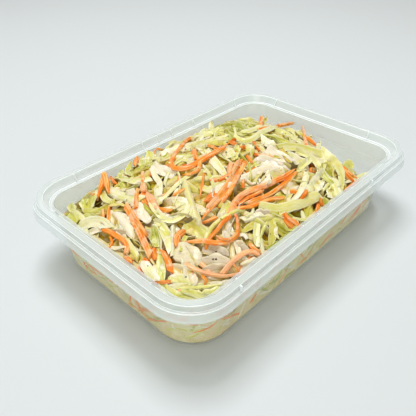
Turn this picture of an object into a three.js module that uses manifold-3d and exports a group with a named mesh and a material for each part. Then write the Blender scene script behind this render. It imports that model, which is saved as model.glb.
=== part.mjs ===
// Coleslaw heaped in a clear rectangular takeaway tub. Millimetres, +Z up, origin on the floor under
// the middle of the tub, X along its long side.
import * as THREE from 'three';
import { mergeVertices } from 'three/addons/utils/BufferGeometryUtils.js';
import Module from 'manifold-3d';

// ---- Tub ----
const LENGTH = 172;              // over the skirt, along X
const WIDTH = 116;               // over the skirt, along Y
const HEIGHT = 37;               // floor to the top of the lip
const WALL = 0.9;                // thickness of the moulded wall
const SKIRT_CORNER = 20.7;       // plan radius of the skirt's corners
const SKIRT_DROP = 6.8;          // lip top down to the skirt's lower edge
const SHOULDER_DROP = 2.6;       // lip top down to the step between lip and skirt
const SHOULDER_INSET = 0.7;      // outer edge of that step, in from the skirt's lower edge
const LIP_FOOT_INSET = 1.9;      // foot of the lip's outer face
const LIP_OUTER = 2.3;           // lip's outer edge, in from the skirt
const LIP_INNER = 5.3;           // lip's inner edge, in from the skirt
const SEAT_DROP = 3.8;           // lip top down to the ledge that a lid sits on
const SEAT_INSET = 7.6;          // outer edge of that ledge, in from the skirt
const BODY_TOP_INSET = 8.7;      // body wall under the ledge, in from the skirt
const BODY_FOOT_INSET = 9.7;     // body wall just above the floor's fillet
const BODY_TOP_CORNER = 12;      // plan radius of the body's corners under the ledge
const BODY_FOOT_CORNER = 19.5;   // the same at the foot: the corners are parts of cones
const FLOOR_FILLET = 4;          // radius between wall and floor
const FILLET_STEPS = 3;
const PLAIN_SPLIT = { corner: 8, long: 1, short: 1 };   // steps around the tub's corners and sides

// ---- Ribs ----
const RIB_WIDTH = 0.8;
const RIB_DEPTH = 1.1;
const RIB_PROUD = 0.45;
const RIBS_ALONG = [-57, -14, -3, 7, 25, 61];   // on the seat's long sides, at these X
const RIBS_ACROSS = [-31, 33];                  // on the seat's short sides, at these Y

// ---- Heap ----
const CLEARANCE = 0.3;           // gap between the food and the plastic
const CROWN = { x: -5, y: 8, z: 46 };           // highest place of the heap's surface
const EDGE_HEIGHT = { left: 32, right: 14, near: 31, far: 28 };   // at the middle of each wall
const REACH = { x: 77, y: 49 };                 // where those heights are taken
const HEAP_SKEW = 0.13;          // the slopes lean along X by this much for each millimetre of Y
const RIGHT_POWER = 2.8;         // the heap stays high and then drops towards +X
const EDGE_BLEND = 1.6;          // how the falls along X and Y add up in the corners
const CORE_DEPTH = 2.4;          // bare core below the heap's outer surface
const LUMP = 1.0;                // relief of the bare core
const COARSE_LUMPS = { x: 0.21, y: 0.26, shift: 0.8, sway: 1.3, swayY: 0.17 };   // radians a millimetre
const FINE_LUMPS = { x: 0.47, y: 0.31, crossX: -0.22, crossY: 0.53, share: 0.6 };
const CORE_RINGS = 8;
const CORE_RING_POWER = 1.1;     // above 1, the core's rings crowd towards its edge
const CORE_SPLIT = { corner: 4, long: 9, short: 6 };
const LEAST_CORE = FLOOR_FILLET + 1;            // the core's top is nowhere below this
const ABOVE_RIM = 60;            // top of the space that the food may fill

// ---- Shreds ----
const STATION_STEP = 7;          // spacing of the cross-sections along a shred
const SINK = 0.7;                // how far a piece presses into what it lies on
const FEWEST_STATIONS = 3;       // a route cut shorter than this is left out
const STIFFNESS_PASSES = 6;
const DROOP = 0.35;              // what a piece may hang below a straight line between its neighbours
const CARROT = { width: 2.8, thickness: 2.0, taper: 0.6 };
const CABBAGE = { width: 4.2, thickness: 1.1, taper: 0.35 };
const LEAST_END = 0.6;           // thickness at a shred's end, at least, as a share of its own
const LEAF = {
  size: 15,
  smallest: 0.7,                 // least and most size, as shares of it
  largest: 1.1,
  aspect: 0.62,                  // width over length
  narrowing: 0.35,               // how much the sides draw in towards the tips
  thickness: 1.0,
  wave: 1.6,                     // height of the waves across it
  ruffle: { least: 0.8, most: 1.4, cross: 0.6 },   // their turn from one column, or row, to the next
  depth: 1.6,                    // how deep it lies under the heap's surface
  clear: 0.5,                    // and how far over the core, at least
  cover: 0.3,                    // radius that it hides, as a share of its size
  steps: 3,
};
const LOOSE_CABBAGE = { count: 50, longest: 32, shortest: 15 };
const LOOSE_CARROT = { count: 8, longest: 26, shortest: 16 };
const LEAF_COUNT = 8;
const LOOSE_WIDTH = { first: 1.4, last: 0.6 };   // widths of the first and last loose shreds, as shares
const LOOSE_BEND = 1.6;          // how far a loose shred may turn over its length, in radians
const WALL_CORNER = 14;          // plan radius of the corners that shreds keep inside
const TILT = 0.45;               // how far a shred may lean about its length, in radians
const TWIST = 0.7;               // how far it may twist from end to end
const ARC_STEPS = 3;
const TRIES = 60;                // loose routes tried for each piece
const SMALLEST_FEATURE = 0.12;   // slivers below this are merged away after the pieces are joined
const FIELD_X = 80;              // half sizes of the field of heights, in cells of a millimetre
const FIELD_Y = 52;
const SEED = 20817;

// Carrot shreds that lie on top, as plan points [x, y, lift]. A lift of 0 rests on what lies below, and
// any other is how far the shred stands off the heap's surface there.
const CARROT_ROUTES = [
  { width: 2.6, points: [[-60, 32, 0], [-55, 35, 3], [-50, 38, 7]] },
  { width: 3.0, points: [[-55, 27, 0], [-52, 33, 4], [-50, 38, 7]] },
  { width: 2.6, points: [[6, 34, 0], [-13, 24, 0], [-24, 17, 0], [-27, 9, 0], [-18, 5, 0], [4, 6, 0]] },
  { width: 4.2, points: [[-57, 11, 0], [-64, -4, 0], [-69, -17, 0]] },
  { width: 2.8, points: [[-72, 10, 0], [-71, -2, 0], [-74, -10, 0]] },
  { width: 2.6, points: [[-46, 17, 0], [-55, 5, 0]] },
  { width: 2.8, points: [[-47, 12, 0], [-53, -5, 0]] },
  { width: 3.6, points: [[-1, -9, 0], [-24, -16, 0], [-43, -22, 0]] },
  { width: 3.6, points: [[13, -28, 0], [-11, -23, 0], [-27, -24, 0], [-32, -27, 0]] },
  { width: 3.2, points: [[4, -28, 0], [-13, -29, 0]] },
  { width: 2.4, points: [[-5, -35, 0], [-26, -27, 0]] },
  { width: 2.6, points: [[-34, -27, 0], [-45, -30, 0], [-55, -32, 0]] },
  { width: 2.2, points: [[-31, -29, 0], [-37, -35, 0], [-44, -36, 0], [-48, -31, 0], [-58, -23, 0]] },
  { width: 2.0, points: [[-63, -33, 0], [-59, -41, 0], [-52, -45, 0]] },
  { width: 2.0, points: [[-54, -43, 0], [-44, -43, 1], [-38, -44, 0]] },
  { width: 3.0, points: [[-11, -38, 0], [-8, -45, 0]] },
  { width: 3.0, points: [[44, -34, 0], [49, -42, 0]] },
  { width: 3.4, points: [[55, -42, 0], [34, -45, 0]] },
  { width: 3.0, points: [[8, -8, 0], [16, -19, 0]] },
  { width: 2.6, points: [[59, 14, 0], [50, 10, 0]] },
  { width: 3.0, points: [[55, 26, 3], [47, 19, 0]] },
  { width: 2.2, points: [[56, -4, 6], [45, -15, 0]] },
  { width: 3.0, points: [[-59, -22, 0], [-53, -21, 0]] },
  { width: 2.8, points: [[-23, -3, 0], [-34, -11, 0]] },
  { width: 2.6, points: [[-36, -15, 0], [-22, -18, 0]] },
  { width: 2.6, points: [[-61, 19, 0], [-67, 12, 0]] },
];

// Cabbage ribbons that lie on top, in the same form.
const CABBAGE_ROUTES = [
  { width: 5.0, points: [[24, -13, 0], [33, -17, 0], [42, -22, 0], [40, -33, 0], [29, -43, 0]] },
  { width: 5.5, points: [[-22, -27, 0], [-18, -33, 0], [-7, -38, 0], [4, -41, 0], [14, -43, 0]] },
  { width: 4.0, points: [[-1, -40, 0], [7, -37, 0], [15, -33, 0], [31, -30, 0]] },
  { width: 6.0, points: [[29, -31, 0], [25, -39, 0], [22, -43, 0]] },
  { width: 6.5, points: [[8, -40, 0], [19, -38, 0], [26, -36, 0]] },
  { width: 6.5, points: [[18, 16, 0], [14, 3, 0], [28, 3, 0], [57, 12, 0]] },
  { width: 6.0, points: [[-39, -10, 0], [-44, -18, 0], [-50, -29, 0]] },
  { width: 5.0, points: [[-8, 11, 0], [-15, -2, 0], [-20, -11, 0]] },
  { width: 5.0, points: [[-52, 37, 0], [-55, 19, 0], [-52, 8, 0]] },
  { width: 6.0, points: [[-69, 34, 0], [-64, 27, 0], [-65, 14, 0]] },
  { width: 5.0, points: [[-57, -10, 0], [-58, -17, 0], [-62, -23, 0]] },
  { width: 5.0, points: [[-69, -34, 0], [-66, -39, 0], [-60, -43, 0], [-50, -44, 0]] },
  { width: 6.5, points: [[-62, -27, 0], [-61, -33, 0], [-61, -38, 0]] },
  { width: 4.0, points: [[-30, -42, 0], [-21, -41, 0], [-11, -41, 0]] },
  { width: 5.0, points: [[-41, 38, 0], [-44, 21, 0], [-39, 16, 0]] },
  { width: 5.0, points: [[-26, -6, 0], [-14, -8, 0], [-2, -7, 0]] },
  { width: 6.0, points: [[-63, 40, 2], [-58, 42, 4], [-50, 43, 2]] },
];

const wasm = await Module();
wasm.setup();
const random = seededRandom(SEED);

function seededRandom(seed) {
  let state = seed;
  return () => {
    state = (state + 0x6d2b79f5) | 0;
    let mixed = Math.imul(state ^ (state >>> 15), 1 | state);
    mixed = (mixed + Math.imul(mixed ^ (mixed >>> 7), 61 | mixed)) ^ mixed;
    return ((mixed ^ (mixed >>> 14)) >>> 0) / 4294967296;
  };
}

function between(low, high) {
  return low + (high - low) * random();
}

function mix(a, b, share) {
  return a + (b - a) * share;
}

// ---- Closed surfaces ----

// A rounded rectangle set in from the skirt's outline, as plan points. Each quarter is a corner's arc
// and then the straight side after it, which is split into steps.
function ring(inset, corner, split = PLAIN_SPLIT) {
  const halfLength = LENGTH / 2 - inset;
  const halfWidth = WIDTH / 2 - inset;
  const points = [];
  for (let quarter = 0; quarter < 4; quarter += 1) {
    const signX = quarter === 0 || quarter === 3 ? 1 : -1;
    const signY = quarter < 2 ? 1 : -1;
    for (let step = 0; step <= split.corner; step += 1) {
      const angle = (quarter + step / split.corner) * Math.PI / 2;
      const x = signX * (halfLength - corner) + corner * Math.cos(angle);
      const y = signY * (halfWidth - corner) + corner * Math.sin(angle);
      points.push(new THREE.Vector2(x, y));
    }
    const alongX = quarter % 2 === 0;
    const steps = alongX ? split.long : split.short;
    const run = alongX ? new THREE.Vector2(-2 * signX * (halfLength - corner), 0)
      : new THREE.Vector2(0, -2 * signY * (halfWidth - corner));
    const start = points[points.length - 1];
    for (let step = 1; step < steps; step += 1) {
      points.push(start.clone().addScaledVector(run, step / steps));
    }
  }
  return points;
}

function levelRing(inset, z, corner, split) {
  return ring(inset, corner, split).map((point) => new THREE.Vector3(point.x, point.y, z));
}

// A closed surface through rings with as many points each, with a fan over the first and the last.
function loft(rings) {
  const count = rings[0].length;
  const vertices = rings.flat();
  const faces = [];
  for (let level = 0; level + 1 < rings.length; level += 1) {
    for (let i = 0; i < count; i += 1) {
      const a = level * count + i;
      const b = level * count + (i + 1) % count;
      faces.push(a, b, b + count, a, b + count, a + count);
    }
  }
  const ends = [rings[0], rings[rings.length - 1]];
  ends.forEach((end, side) => {
    const start = side === 0 ? 0 : (rings.length - 1) * count;
    const middle = new THREE.Vector3();
    end.forEach((point) => middle.add(point));
    middle.divideScalar(count);
    const centre = vertices.push(middle) - 1;
    for (let i = 0; i < count; i += 1) {
      const a = start + i;
      const b = start + (i + 1) % count;
      faces.push(...(side === 0 ? [centre, b, a] : [centre, a, b]));
    }
  });
  const geometry = new THREE.BufferGeometry().setFromPoints(vertices);
  geometry.setIndex(faces);
  return geometry;
}

function toSolid(geometry) {
  const bare = geometry.clone();
  bare.deleteAttribute('normal');
  bare.deleteAttribute('uv');
  const merged = mergeVertices(bare, 1e-4);
  const mesh = new wasm.Mesh({
    numProp: 3,
    vertProperties: new Float32Array(merged.attributes.position.array),
    triVerts: new Uint32Array(merged.index.array),
  });
  return new wasm.Manifold(mesh);
}

function toGeometry(solid) {
  const mesh = solid.getMesh();
  const geometry = new THREE.BufferGeometry();
  geometry.setAttribute('position', new THREE.BufferAttribute(new Float32Array(mesh.vertProperties), 3));
  geometry.setIndex(Array.from(mesh.triVerts));
  geometry.computeVertexNormals();
  return geometry;
}

// ---- Tub ----

// The body wall's inset and corner radius at a height, on its outside.
function bodyInset(z) {
  const share = (z - FLOOR_FILLET) / (HEIGHT - SEAT_DROP - WALL - FLOOR_FILLET);
  return mix(BODY_FOOT_INSET, BODY_TOP_INSET, share);
}

function bodyCorner(z) {
  const share = (z - FLOOR_FILLET) / (HEIGHT - SEAT_DROP - WALL - FLOOR_FILLET);
  return mix(BODY_FOOT_CORNER, BODY_TOP_CORNER, share);
}

// The fillet from the floor into the wall, offset inwards from the tub's outside by a distance.
function filletRings(offset, split) {
  const radius = FLOOR_FILLET - offset;
  const rings = [];
  for (let step = 0; step <= FILLET_STEPS; step += 1) {
    const angle = step / FILLET_STEPS * Math.PI / 2;
    const inset = BODY_FOOT_INSET + FLOOR_FILLET - radius * Math.sin(angle);
    const z = FLOOR_FILLET - radius * Math.cos(angle);
    rings.push(levelRing(inset, z, BODY_FOOT_CORNER - FLOOR_FILLET + radius * Math.sin(angle), split));
  }
  return rings;
}

// The ledge, the wall that a lid fits into and the lip, offset from the face that meets the food.
function seatRings(offset) {
  const ledge = HEIGHT - SEAT_DROP;
  return [
    levelRing(bodyInset(ledge) + WALL + offset, ledge + offset, bodyCorner(ledge) - WALL - offset),
    levelRing(SEAT_INSET + offset, ledge + offset, SKIRT_CORNER - SEAT_INSET - offset),
    levelRing(LIP_INNER + offset, HEIGHT + offset, SKIRT_CORNER - LIP_INNER - offset),
  ];
}

function outerRings() {
  const under = HEIGHT - SEAT_DROP - WALL;
  const skirtFoot = HEIGHT - SKIRT_DROP;
  const shoulder = HEIGHT - SHOULDER_DROP;
  return [
    ...filletRings(0),
    levelRing(bodyInset(under), under, bodyCorner(under)),
    levelRing(SEAT_INSET - WALL / 2, under, SKIRT_CORNER - SEAT_INSET + WALL / 2),
    levelRing(LIP_INNER - WALL / 2, HEIGHT - WALL, SKIRT_CORNER - LIP_INNER + WALL / 2),
    levelRing(LIP_OUTER + WALL, HEIGHT - WALL, SKIRT_CORNER - LIP_OUTER - WALL),
    levelRing(LIP_FOOT_INSET + WALL, shoulder - WALL, SKIRT_CORNER - LIP_FOOT_INSET - WALL),
    levelRing(SHOULDER_INSET + WALL, shoulder - WALL, SKIRT_CORNER - SHOULDER_INSET - WALL),
    levelRing(WALL, skirtFoot, SKIRT_CORNER - WALL),
    levelRing(0, skirtFoot, SKIRT_CORNER),
    levelRing(SHOULDER_INSET, shoulder, SKIRT_CORNER - SHOULDER_INSET),
    levelRing(LIP_FOOT_INSET, shoulder, SKIRT_CORNER - LIP_FOOT_INSET),
    levelRing(LIP_OUTER, HEIGHT, SKIRT_CORNER - LIP_OUTER),
  ];
}

// A thin upright rib on the wall that a lid fits into, at a plan point and turned to face inwards.
function rib(x, y, turn) {
  const lean = Math.atan2(SEAT_INSET - LIP_INNER, SEAT_DROP);
  const slope = Math.hypot(SEAT_INSET - LIP_INNER, SEAT_DROP);
  const box = new THREE.BoxGeometry(RIB_WIDTH, RIB_DEPTH, slope - WALL);
  box.translate(0, RIB_PROUD - RIB_DEPTH / 2, 0);
  box.rotateX(lean);
  box.rotateZ(turn);
  box.translate(x, y, HEIGHT - SEAT_DROP / 2);
  return toSolid(box);
}

function makeTub() {
  const shell = loft([...outerRings(), ...seatRings(0).reverse(), ...filletRings(WALL).reverse()]);
  const middle = (LIP_INNER + SEAT_INSET) / 2;
  const ribs = [];
  for (const side of [-1, 1]) {
    const turnAlong = side < 0 ? 0 : Math.PI;
    const turnAcross = side * Math.PI / 2;
    RIBS_ALONG.forEach((x) => ribs.push(rib(x, side * (WIDTH / 2 - middle), turnAlong)));
    RIBS_ACROSS.forEach((y) => ribs.push(rib(side * (LENGTH / 2 - middle), y, turnAcross)));
  }
  return ribs.reduce((tub, piece) => tub.add(piece), toSolid(shell));
}

// ---- Heap ----

// Height of the heap's outer surface over a plan point.
function heapHeight(x, y) {
  const along = x - HEAP_SKEW * y - CROWN.x;
  const across = y - CROWN.y;
  const fallX = along < 0
    ? (CROWN.z - EDGE_HEIGHT.left) * (-along / (REACH.x + CROWN.x)) ** 2
    : (CROWN.z - EDGE_HEIGHT.right) * (along / (REACH.x - CROWN.x)) ** RIGHT_POWER;
  const fallY = across < 0
    ? (CROWN.z - EDGE_HEIGHT.near) * (across / (REACH.y + CROWN.y)) ** 2
    : (CROWN.z - EDGE_HEIGHT.far) * (across / (REACH.y - CROWN.y)) ** 2;
  return CROWN.z - (fallX ** EDGE_BLEND + fallY ** EDGE_BLEND) ** (1 / EDGE_BLEND);
}

// Height of the bare core, which is lower and lumpy.
function coreHeight(x, y) {
  const big = COARSE_LUMPS;
  const small = FINE_LUMPS;
  const coarse = Math.sin(x * big.x + big.sway * Math.sin(y * big.swayY)) * Math.cos(y * big.y + big.shift);
  const fine = Math.sin(x * small.x + y * small.y) * Math.sin(y * small.crossY + x * small.crossX);
  return heapHeight(x, y) - CORE_DEPTH + LUMP * (coarse + small.share * fine);
}

// The space that the food may fill, a small gap clear of the plastic, and open above the rim.
function fillSpace() {
  const top = levelRing(LIP_INNER + CLEARANCE, ABOVE_RIM, SKIRT_CORNER - LIP_INNER - CLEARANCE);
  const wall = filletRings(WALL + CLEARANCE);
  return toSolid(loft([...wall, ...seatRings(CLEARANCE), top]));
}

// The bare core: rings up the inside of the wall to the heap's edge, then inwards over its top.
function makeCore() {
  const rings = filletRings(WALL + CLEARANCE, CORE_SPLIT);
  const inset = bodyInset(EDGE_HEIGHT.right) + WALL + CLEARANCE;
  const edge = ring(inset, bodyCorner(EDGE_HEIGHT.right) - WALL - CLEARANCE, CORE_SPLIT);
  for (let level = 0; level < CORE_RINGS; level += 1) {
    const share = 1 - (level / CORE_RINGS) ** CORE_RING_POWER;
    rings.push(edge.map((point) => {
      const x = point.x * share;
      const y = point.y * share;
      return new THREE.Vector3(x, y, Math.max(coreHeight(x, y), LEAST_CORE));
    }));
  }
  return toSolid(loft(rings));
}

// ---- Height field that pieces are laid on ----

const field = new Float32Array((2 * FIELD_X + 1) * (2 * FIELD_Y + 1));
const covered = new Uint8Array(field.length);   // 1 where a piece lies or will lie

function cell(x, y) {
  const column = Math.min(Math.max(Math.round(x) + FIELD_X, 0), 2 * FIELD_X);
  const row = Math.min(Math.max(Math.round(y) + FIELD_Y, 0), 2 * FIELD_Y);
  return row * (2 * FIELD_X + 1) + column;
}

function fillField() {
  for (let y = -FIELD_Y; y <= FIELD_Y; y += 1) {
    for (let x = -FIELD_X; x <= FIELD_X; x += 1) {
      field[cell(x, y)] = coreHeight(x, y);
    }
  }
}

function disc(x, y, radius, visit) {
  for (let dy = -Math.floor(radius); dy <= radius; dy += 1) {
    for (let dx = -Math.floor(radius); dx <= radius; dx += 1) {
      if (dx * dx + dy * dy <= radius * radius) visit(cell(x + dx, y + dy));
    }
  }
}

function contactHeight(x, y, radius) {
  let highest = -Infinity;
  disc(x, y, radius, (index) => { highest = Math.max(highest, field[index]); });
  return highest;
}

function raiseField(x, y, radius, z) {
  disc(x, y, radius, (index) => {
    field[index] = Math.max(field[index], z);
    covered[index] = 1;
  });
}

function reserve(points, width) {
  stations(points).forEach((p) => disc(p.x, p.y, width, (index) => { covered[index] = 1; }));
}

// Whether a plan point is inside the body wall by a margin.
function insideWall(x, y, margin) {
  const halfLength = LENGTH / 2 - BODY_FOOT_INSET - WALL - margin;
  const halfWidth = WIDTH / 2 - BODY_FOOT_INSET - WALL - margin;
  const overX = Math.max(Math.abs(x) - halfLength + WALL_CORNER, 0);
  const overY = Math.max(Math.abs(y) - halfWidth + WALL_CORNER, 0);
  return Math.hypot(overX, overY) <= WALL_CORNER;
}

// ---- Shreds ----

// Evenly spaced points of a smooth curve through plan points; z carries the lift.
function stations(points) {
  const curve = new THREE.CatmullRomCurve3(points.map((p) => new THREE.Vector3(p[0], p[1], p[2] ?? 0)));
  const count = Math.max(Math.round(curve.getLength() / STATION_STEP), 2);
  return curve.getSpacedPoints(count);
}

// Lays a shred: each station rests on the field, and the shred is stiff enough to bridge gaps.
function layShred(path, radius, thickness) {
  const rest = path.map((p) => contactHeight(p.x, p.y, radius) + thickness / 2 - SINK);
  let heights = rest.slice();
  for (let pass = 0; pass < STIFFNESS_PASSES; pass += 1) {
    heights = heights.map((z, i) => {
      if (i === 0 || i === heights.length - 1) return rest[i];
      return Math.max(rest[i], (heights[i - 1] + heights[i + 1]) / 2 - DROOP);
    });
  }
  return heights;
}

// A strip of rectangular section along a path, tapered at both ends and rolled about its length.
function stripGeometry(path, width, thickness, taper, roll) {
  const up = new THREE.Vector3(0, 0, 1);
  const last = path.length - 1;
  const rings = path.map((point, i) => {
    const before = path[Math.max(i - 1, 0)];
    const after = path[Math.min(i + 1, last)];
    const along = after.clone().sub(before).normalize();
    const side = along.clone().cross(up).normalize().applyAxisAngle(along, roll(i / last));
    const normal = side.clone().cross(along).normalize();
    const narrow = i === 0 || i === last ? taper : 1;
    const halfSide = side.multiplyScalar(width / 2 * narrow);
    const halfUp = normal.multiplyScalar(thickness / 2 * Math.max(narrow, LEAST_END));
    return [
      point.clone().sub(halfSide).sub(halfUp),
      point.clone().add(halfSide).sub(halfUp),
      point.clone().add(halfSide).add(halfUp),
      point.clone().sub(halfSide).add(halfUp),
    ];
  });
  return boxLoft(rings);
}

// A closed tube through rings of four points.
function boxLoft(rings) {
  const faces = [];
  for (let level = 0; level + 1 < rings.length; level += 1) {
    for (let i = 0; i < 4; i += 1) {
      const a = level * 4 + i;
      const b = level * 4 + (i + 1) % 4;
      faces.push(a, b + 4, b, a, a + 4, b + 4);
    }
  }
  const end = (rings.length - 1) * 4;
  faces.push(0, 1, 2, 0, 2, 3, end, end + 2, end + 1, end, end + 3, end + 2);
  const geometry = new THREE.BufferGeometry().setFromPoints(rings.flat());
  geometry.setIndex(faces);
  return geometry;
}

// Cuts a route off where it would leave the tub, and gives nothing if too little is left.
function keepInside(path, margin) {
  const inside = path.map((p) => insideWall(p.x, p.y, margin));
  const first = inside.indexOf(true);
  if (first < 0) return null;
  const after = inside.indexOf(false, first);
  const kept = path.slice(first, after < 0 ? path.length : after);
  return kept.length >= FEWEST_STATIONS ? kept : null;
}

function addStrip(solids, points, kind, width) {
  const path = keepInside(stations(points), width / 2 + CLEARANCE);
  if (!path) return;
  const radius = width / 2;
  const heights = layShred(path, radius, kind.thickness);
  const tilt = between(-TILT, TILT);
  const twist = between(-TWIST, TWIST);
  path.forEach((p, i) => {
    const raised = p.z > 0 ? heapHeight(p.x, p.y) + p.z : -Infinity;
    p.z = Math.max(heights[i], raised);
  });
  const roll = (share) => tilt + twist * (share - 0.5);
  solids.push(toSolid(stripGeometry(path, width, kind.thickness, kind.taper, roll)));
  path.forEach((p) => raiseField(p.x, p.y, radius, p.z + kind.thickness / 2));
}

// A route for a loose shred: a plain arc of a given length through a random place in the tub.
function looseRoute(length, bend) {
  const heading = between(0, Math.PI * 2);
  let x = between(-REACH.x, REACH.x);
  let y = between(-REACH.y, REACH.y);
  const points = [];
  for (let i = 0; i <= ARC_STEPS; i += 1) {
    points.push([x, y, 0]);
    const angle = heading + bend * (i / ARC_STEPS - 0.5);
    x += Math.cos(angle) * length / ARC_STEPS;
    y += Math.sin(angle) * length / ARC_STEPS;
  }
  return points;
}

// The share of a route that runs over places with no piece, or -1 if the route leaves the tub.
function emptiness(points, width) {
  if (!points.every(([x, y]) => insideWall(x, y, width / 2 + CLEARANCE))) return -1;
  let cells = 0;
  let empty = 0;
  stations(points).forEach((p) => disc(p.x, p.y, width, (index) => {
    cells += 1;
    empty += 1 - covered[index];
  }));
  return empty / cells;
}

// Of several loose routes, the one over the emptiest part of the heap.
function emptiestRoute(length, bend, width) {
  let best = null;
  let most = -1;
  for (let i = 0; i < TRIES; i += 1) {
    const route = looseRoute(length, bend);
    const share = emptiness(route, width);
    if (share > most) {
      most = share;
      best = route;
    }
  }
  return best;
}

// A thin wavy piece of leaf, with both faces split into triangles alike.
function leafGeometry(x, y, size, turn) {
  const n = LEAF.steps;
  const rows = [];
  const phase = between(0, 2 * Math.PI);
  const ruffle = between(LEAF.ruffle.least, LEAF.ruffle.most);
  for (const side of [-0.5, 0.5]) {
    for (let j = 0; j <= n; j += 1) {
      for (let i = 0; i <= n; i += 1) {
        const u = (i / n - 0.5) * size * LEAF.aspect;
        const v = (j / n - 0.5) * size * (1 - LEAF.narrowing * Math.abs(i / n - 0.5));
        const px = x + u * Math.cos(turn) - v * Math.sin(turn);
        const py = y + u * Math.sin(turn) + v * Math.cos(turn);
        const wave = LEAF.wave * Math.sin(ruffle * (i + LEAF.ruffle.cross * j) + phase);
        const lie = Math.max(heapHeight(px, py) - LEAF.depth, coreHeight(px, py) + LEAF.clear);
        rows.push(new THREE.Vector3(px, py, lie + wave + side * LEAF.thickness));
      }
    }
  }
  const faces = [];
  const layer = (n + 1) * (n + 1);
  for (let j = 0; j < n; j += 1) {
    for (let i = 0; i < n; i += 1) {
      const a = j * (n + 1) + i;
      const b = a + 1;
      const c = a + n + 2;
      const d = a + n + 1;
      faces.push(a, c, b, a, d, c, a + layer, b + layer, c + layer, a + layer, c + layer, d + layer);
    }
  }
  const rim = [];
  for (let i = 0; i < n; i += 1) rim.push(i);
  for (let j = 0; j < n; j += 1) rim.push(j * (n + 1) + n);
  for (let i = n; i > 0; i -= 1) rim.push(n * (n + 1) + i);
  for (let j = n; j > 0; j -= 1) rim.push(j * (n + 1));
  rim.forEach((a, i) => {
    const b = rim[(i + 1) % rim.length];
    faces.push(a, b, b + layer, a, b + layer, a + layer);
  });
  const geometry = new THREE.BufferGeometry().setFromPoints(rows);
  geometry.setIndex(faces);
  return geometry;
}

function addLeaves(solids) {
  for (let i = 0; i < LEAF_COUNT; i += 1) {
    const size = LEAF.size * between(LEAF.smallest, LEAF.largest);
    const route = emptiestRoute(size, 0, size);
    if (route) {
      const [x, y] = route[1];
      solids.push(toSolid(leafGeometry(x, y, size, between(0, Math.PI))));
      raiseField(x, y, size * LEAF.cover, heapHeight(x, y));
    }
  }
}

function addLooseShreds(solids, kind, loose) {
  for (let i = 0; i < loose.count; i += 1) {
    const share = i / loose.count;
    const width = kind.width * mix(LOOSE_WIDTH.first, LOOSE_WIDTH.last, share);
    const length = mix(loose.longest, loose.shortest, share);
    const route = emptiestRoute(length, between(-LOOSE_BEND, LOOSE_BEND), width);
    if (route) addStrip(solids, route, kind, width);
  }
}

// Joins the pieces, cuts them to the space in the tub, and keeps the one body: loose scraps go, and
// hollows that joining sealed are filled.
function joinHeap(solids) {
  const joined = wasm.Manifold.union(solids).intersect(fillSpace()).simplify(SMALLEST_FEATURE);
  const bodies = joined.decompose().sort((a, b) => b.volume() - a.volume());
  return bodies[0];
}

function makeHeap() {
  fillField();
  const solids = [makeCore()];
  [...CABBAGE_ROUTES, ...CARROT_ROUTES].forEach((r) => reserve(r.points, r.width / 2));
  addLeaves(solids);
  addLooseShreds(solids, CABBAGE, LOOSE_CABBAGE);
  addLooseShreds(solids, CARROT, LOOSE_CARROT);
  CABBAGE_ROUTES.forEach((r) => addStrip(solids, r.points, CABBAGE, r.width));
  CARROT_ROUTES.forEach((r) => addStrip(solids, r.points, CARROT, r.width));
  return joinHeap(solids);
}

// ---- Materials and parts ----

function part(name, solid, material) {
  const mesh = new THREE.Mesh(toGeometry(solid), material);
  mesh.name = name;
  return mesh;
}

const clearPlastic = new THREE.MeshStandardMaterial({
  color: 0xe6eeee, roughness: 0.25, metalness: 0, transparent: true, opacity: 0.35,
});
const slaw = new THREE.MeshStandardMaterial({ color: 0xe3dfb4, roughness: 0.45, metalness: 0 });

const coleslaw = new THREE.Group();
coleslaw.add(part('tub', makeTub(), clearPlastic));
coleslaw.add(part('coleslaw', makeHeap(), slaw));

export default coleslaw;
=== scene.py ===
import math

import bpy
import numpy as np
from mathutils import Matrix, Vector


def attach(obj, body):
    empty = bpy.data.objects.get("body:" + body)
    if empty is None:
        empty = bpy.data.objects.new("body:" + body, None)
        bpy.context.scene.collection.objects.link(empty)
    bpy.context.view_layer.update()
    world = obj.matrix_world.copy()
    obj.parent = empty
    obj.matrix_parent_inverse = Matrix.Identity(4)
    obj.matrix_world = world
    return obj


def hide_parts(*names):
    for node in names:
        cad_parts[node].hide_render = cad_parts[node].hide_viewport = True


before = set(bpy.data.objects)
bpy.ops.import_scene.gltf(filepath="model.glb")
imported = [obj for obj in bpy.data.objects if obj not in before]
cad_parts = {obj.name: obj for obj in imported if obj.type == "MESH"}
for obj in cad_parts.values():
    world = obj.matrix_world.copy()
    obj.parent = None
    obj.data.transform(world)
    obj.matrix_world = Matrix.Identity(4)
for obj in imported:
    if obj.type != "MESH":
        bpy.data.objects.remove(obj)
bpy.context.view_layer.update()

# Coleslaw heaped in a clear rectangular tub. Lengths are in millimetres until a mesh is made.
MM = 0.001
SEED = 5
random = np.random.default_rng(SEED)
FULL_TURN = 2 * math.pi
ANY_PHASE = 6.3                  # the phases of waves are drawn from 0 to this, about a full turn

# ---- Tub, as in the CAD ----
LENGTH, WIDTH, HEIGHT = 172, 116, 37
WALL = 0.9
SKIRT_CORNER = 20.7
SKIRT_DROP = 6.8
SHOULDER_DROP, SHOULDER_INSET = 2.6, 0.7
LIP_FOOT_INSET, LIP_OUTER, LIP_INNER = 1.9, 2.3, 5.3
SEAT_DROP, SEAT_INSET = 3.8, 7.6
BODY_TOP_INSET, BODY_FOOT_INSET = 8.7, 9.7
BODY_TOP_CORNER, BODY_FOOT_CORNER = 12, 19.5
FLOOR_FILLET = 4
RIB_WIDTH, RIB_DEPTH, RIB_PROUD = 0.8, 1.1, 0.45
RIBS_ALONG = (-57, -14, -3, 7, 25, 61)
RIBS_ACROSS = (-31, 33)
SKIRT_RIBS = (-59, 37)           # small ribs between lip and skirt on the near long side, at these X
WALL_BITE = 0.15                 # how far what fills the tub reaches into its wall
FILL_DEPTH = WALL - WALL_BITE    # from the wall's outside in to what fills the tub

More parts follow.
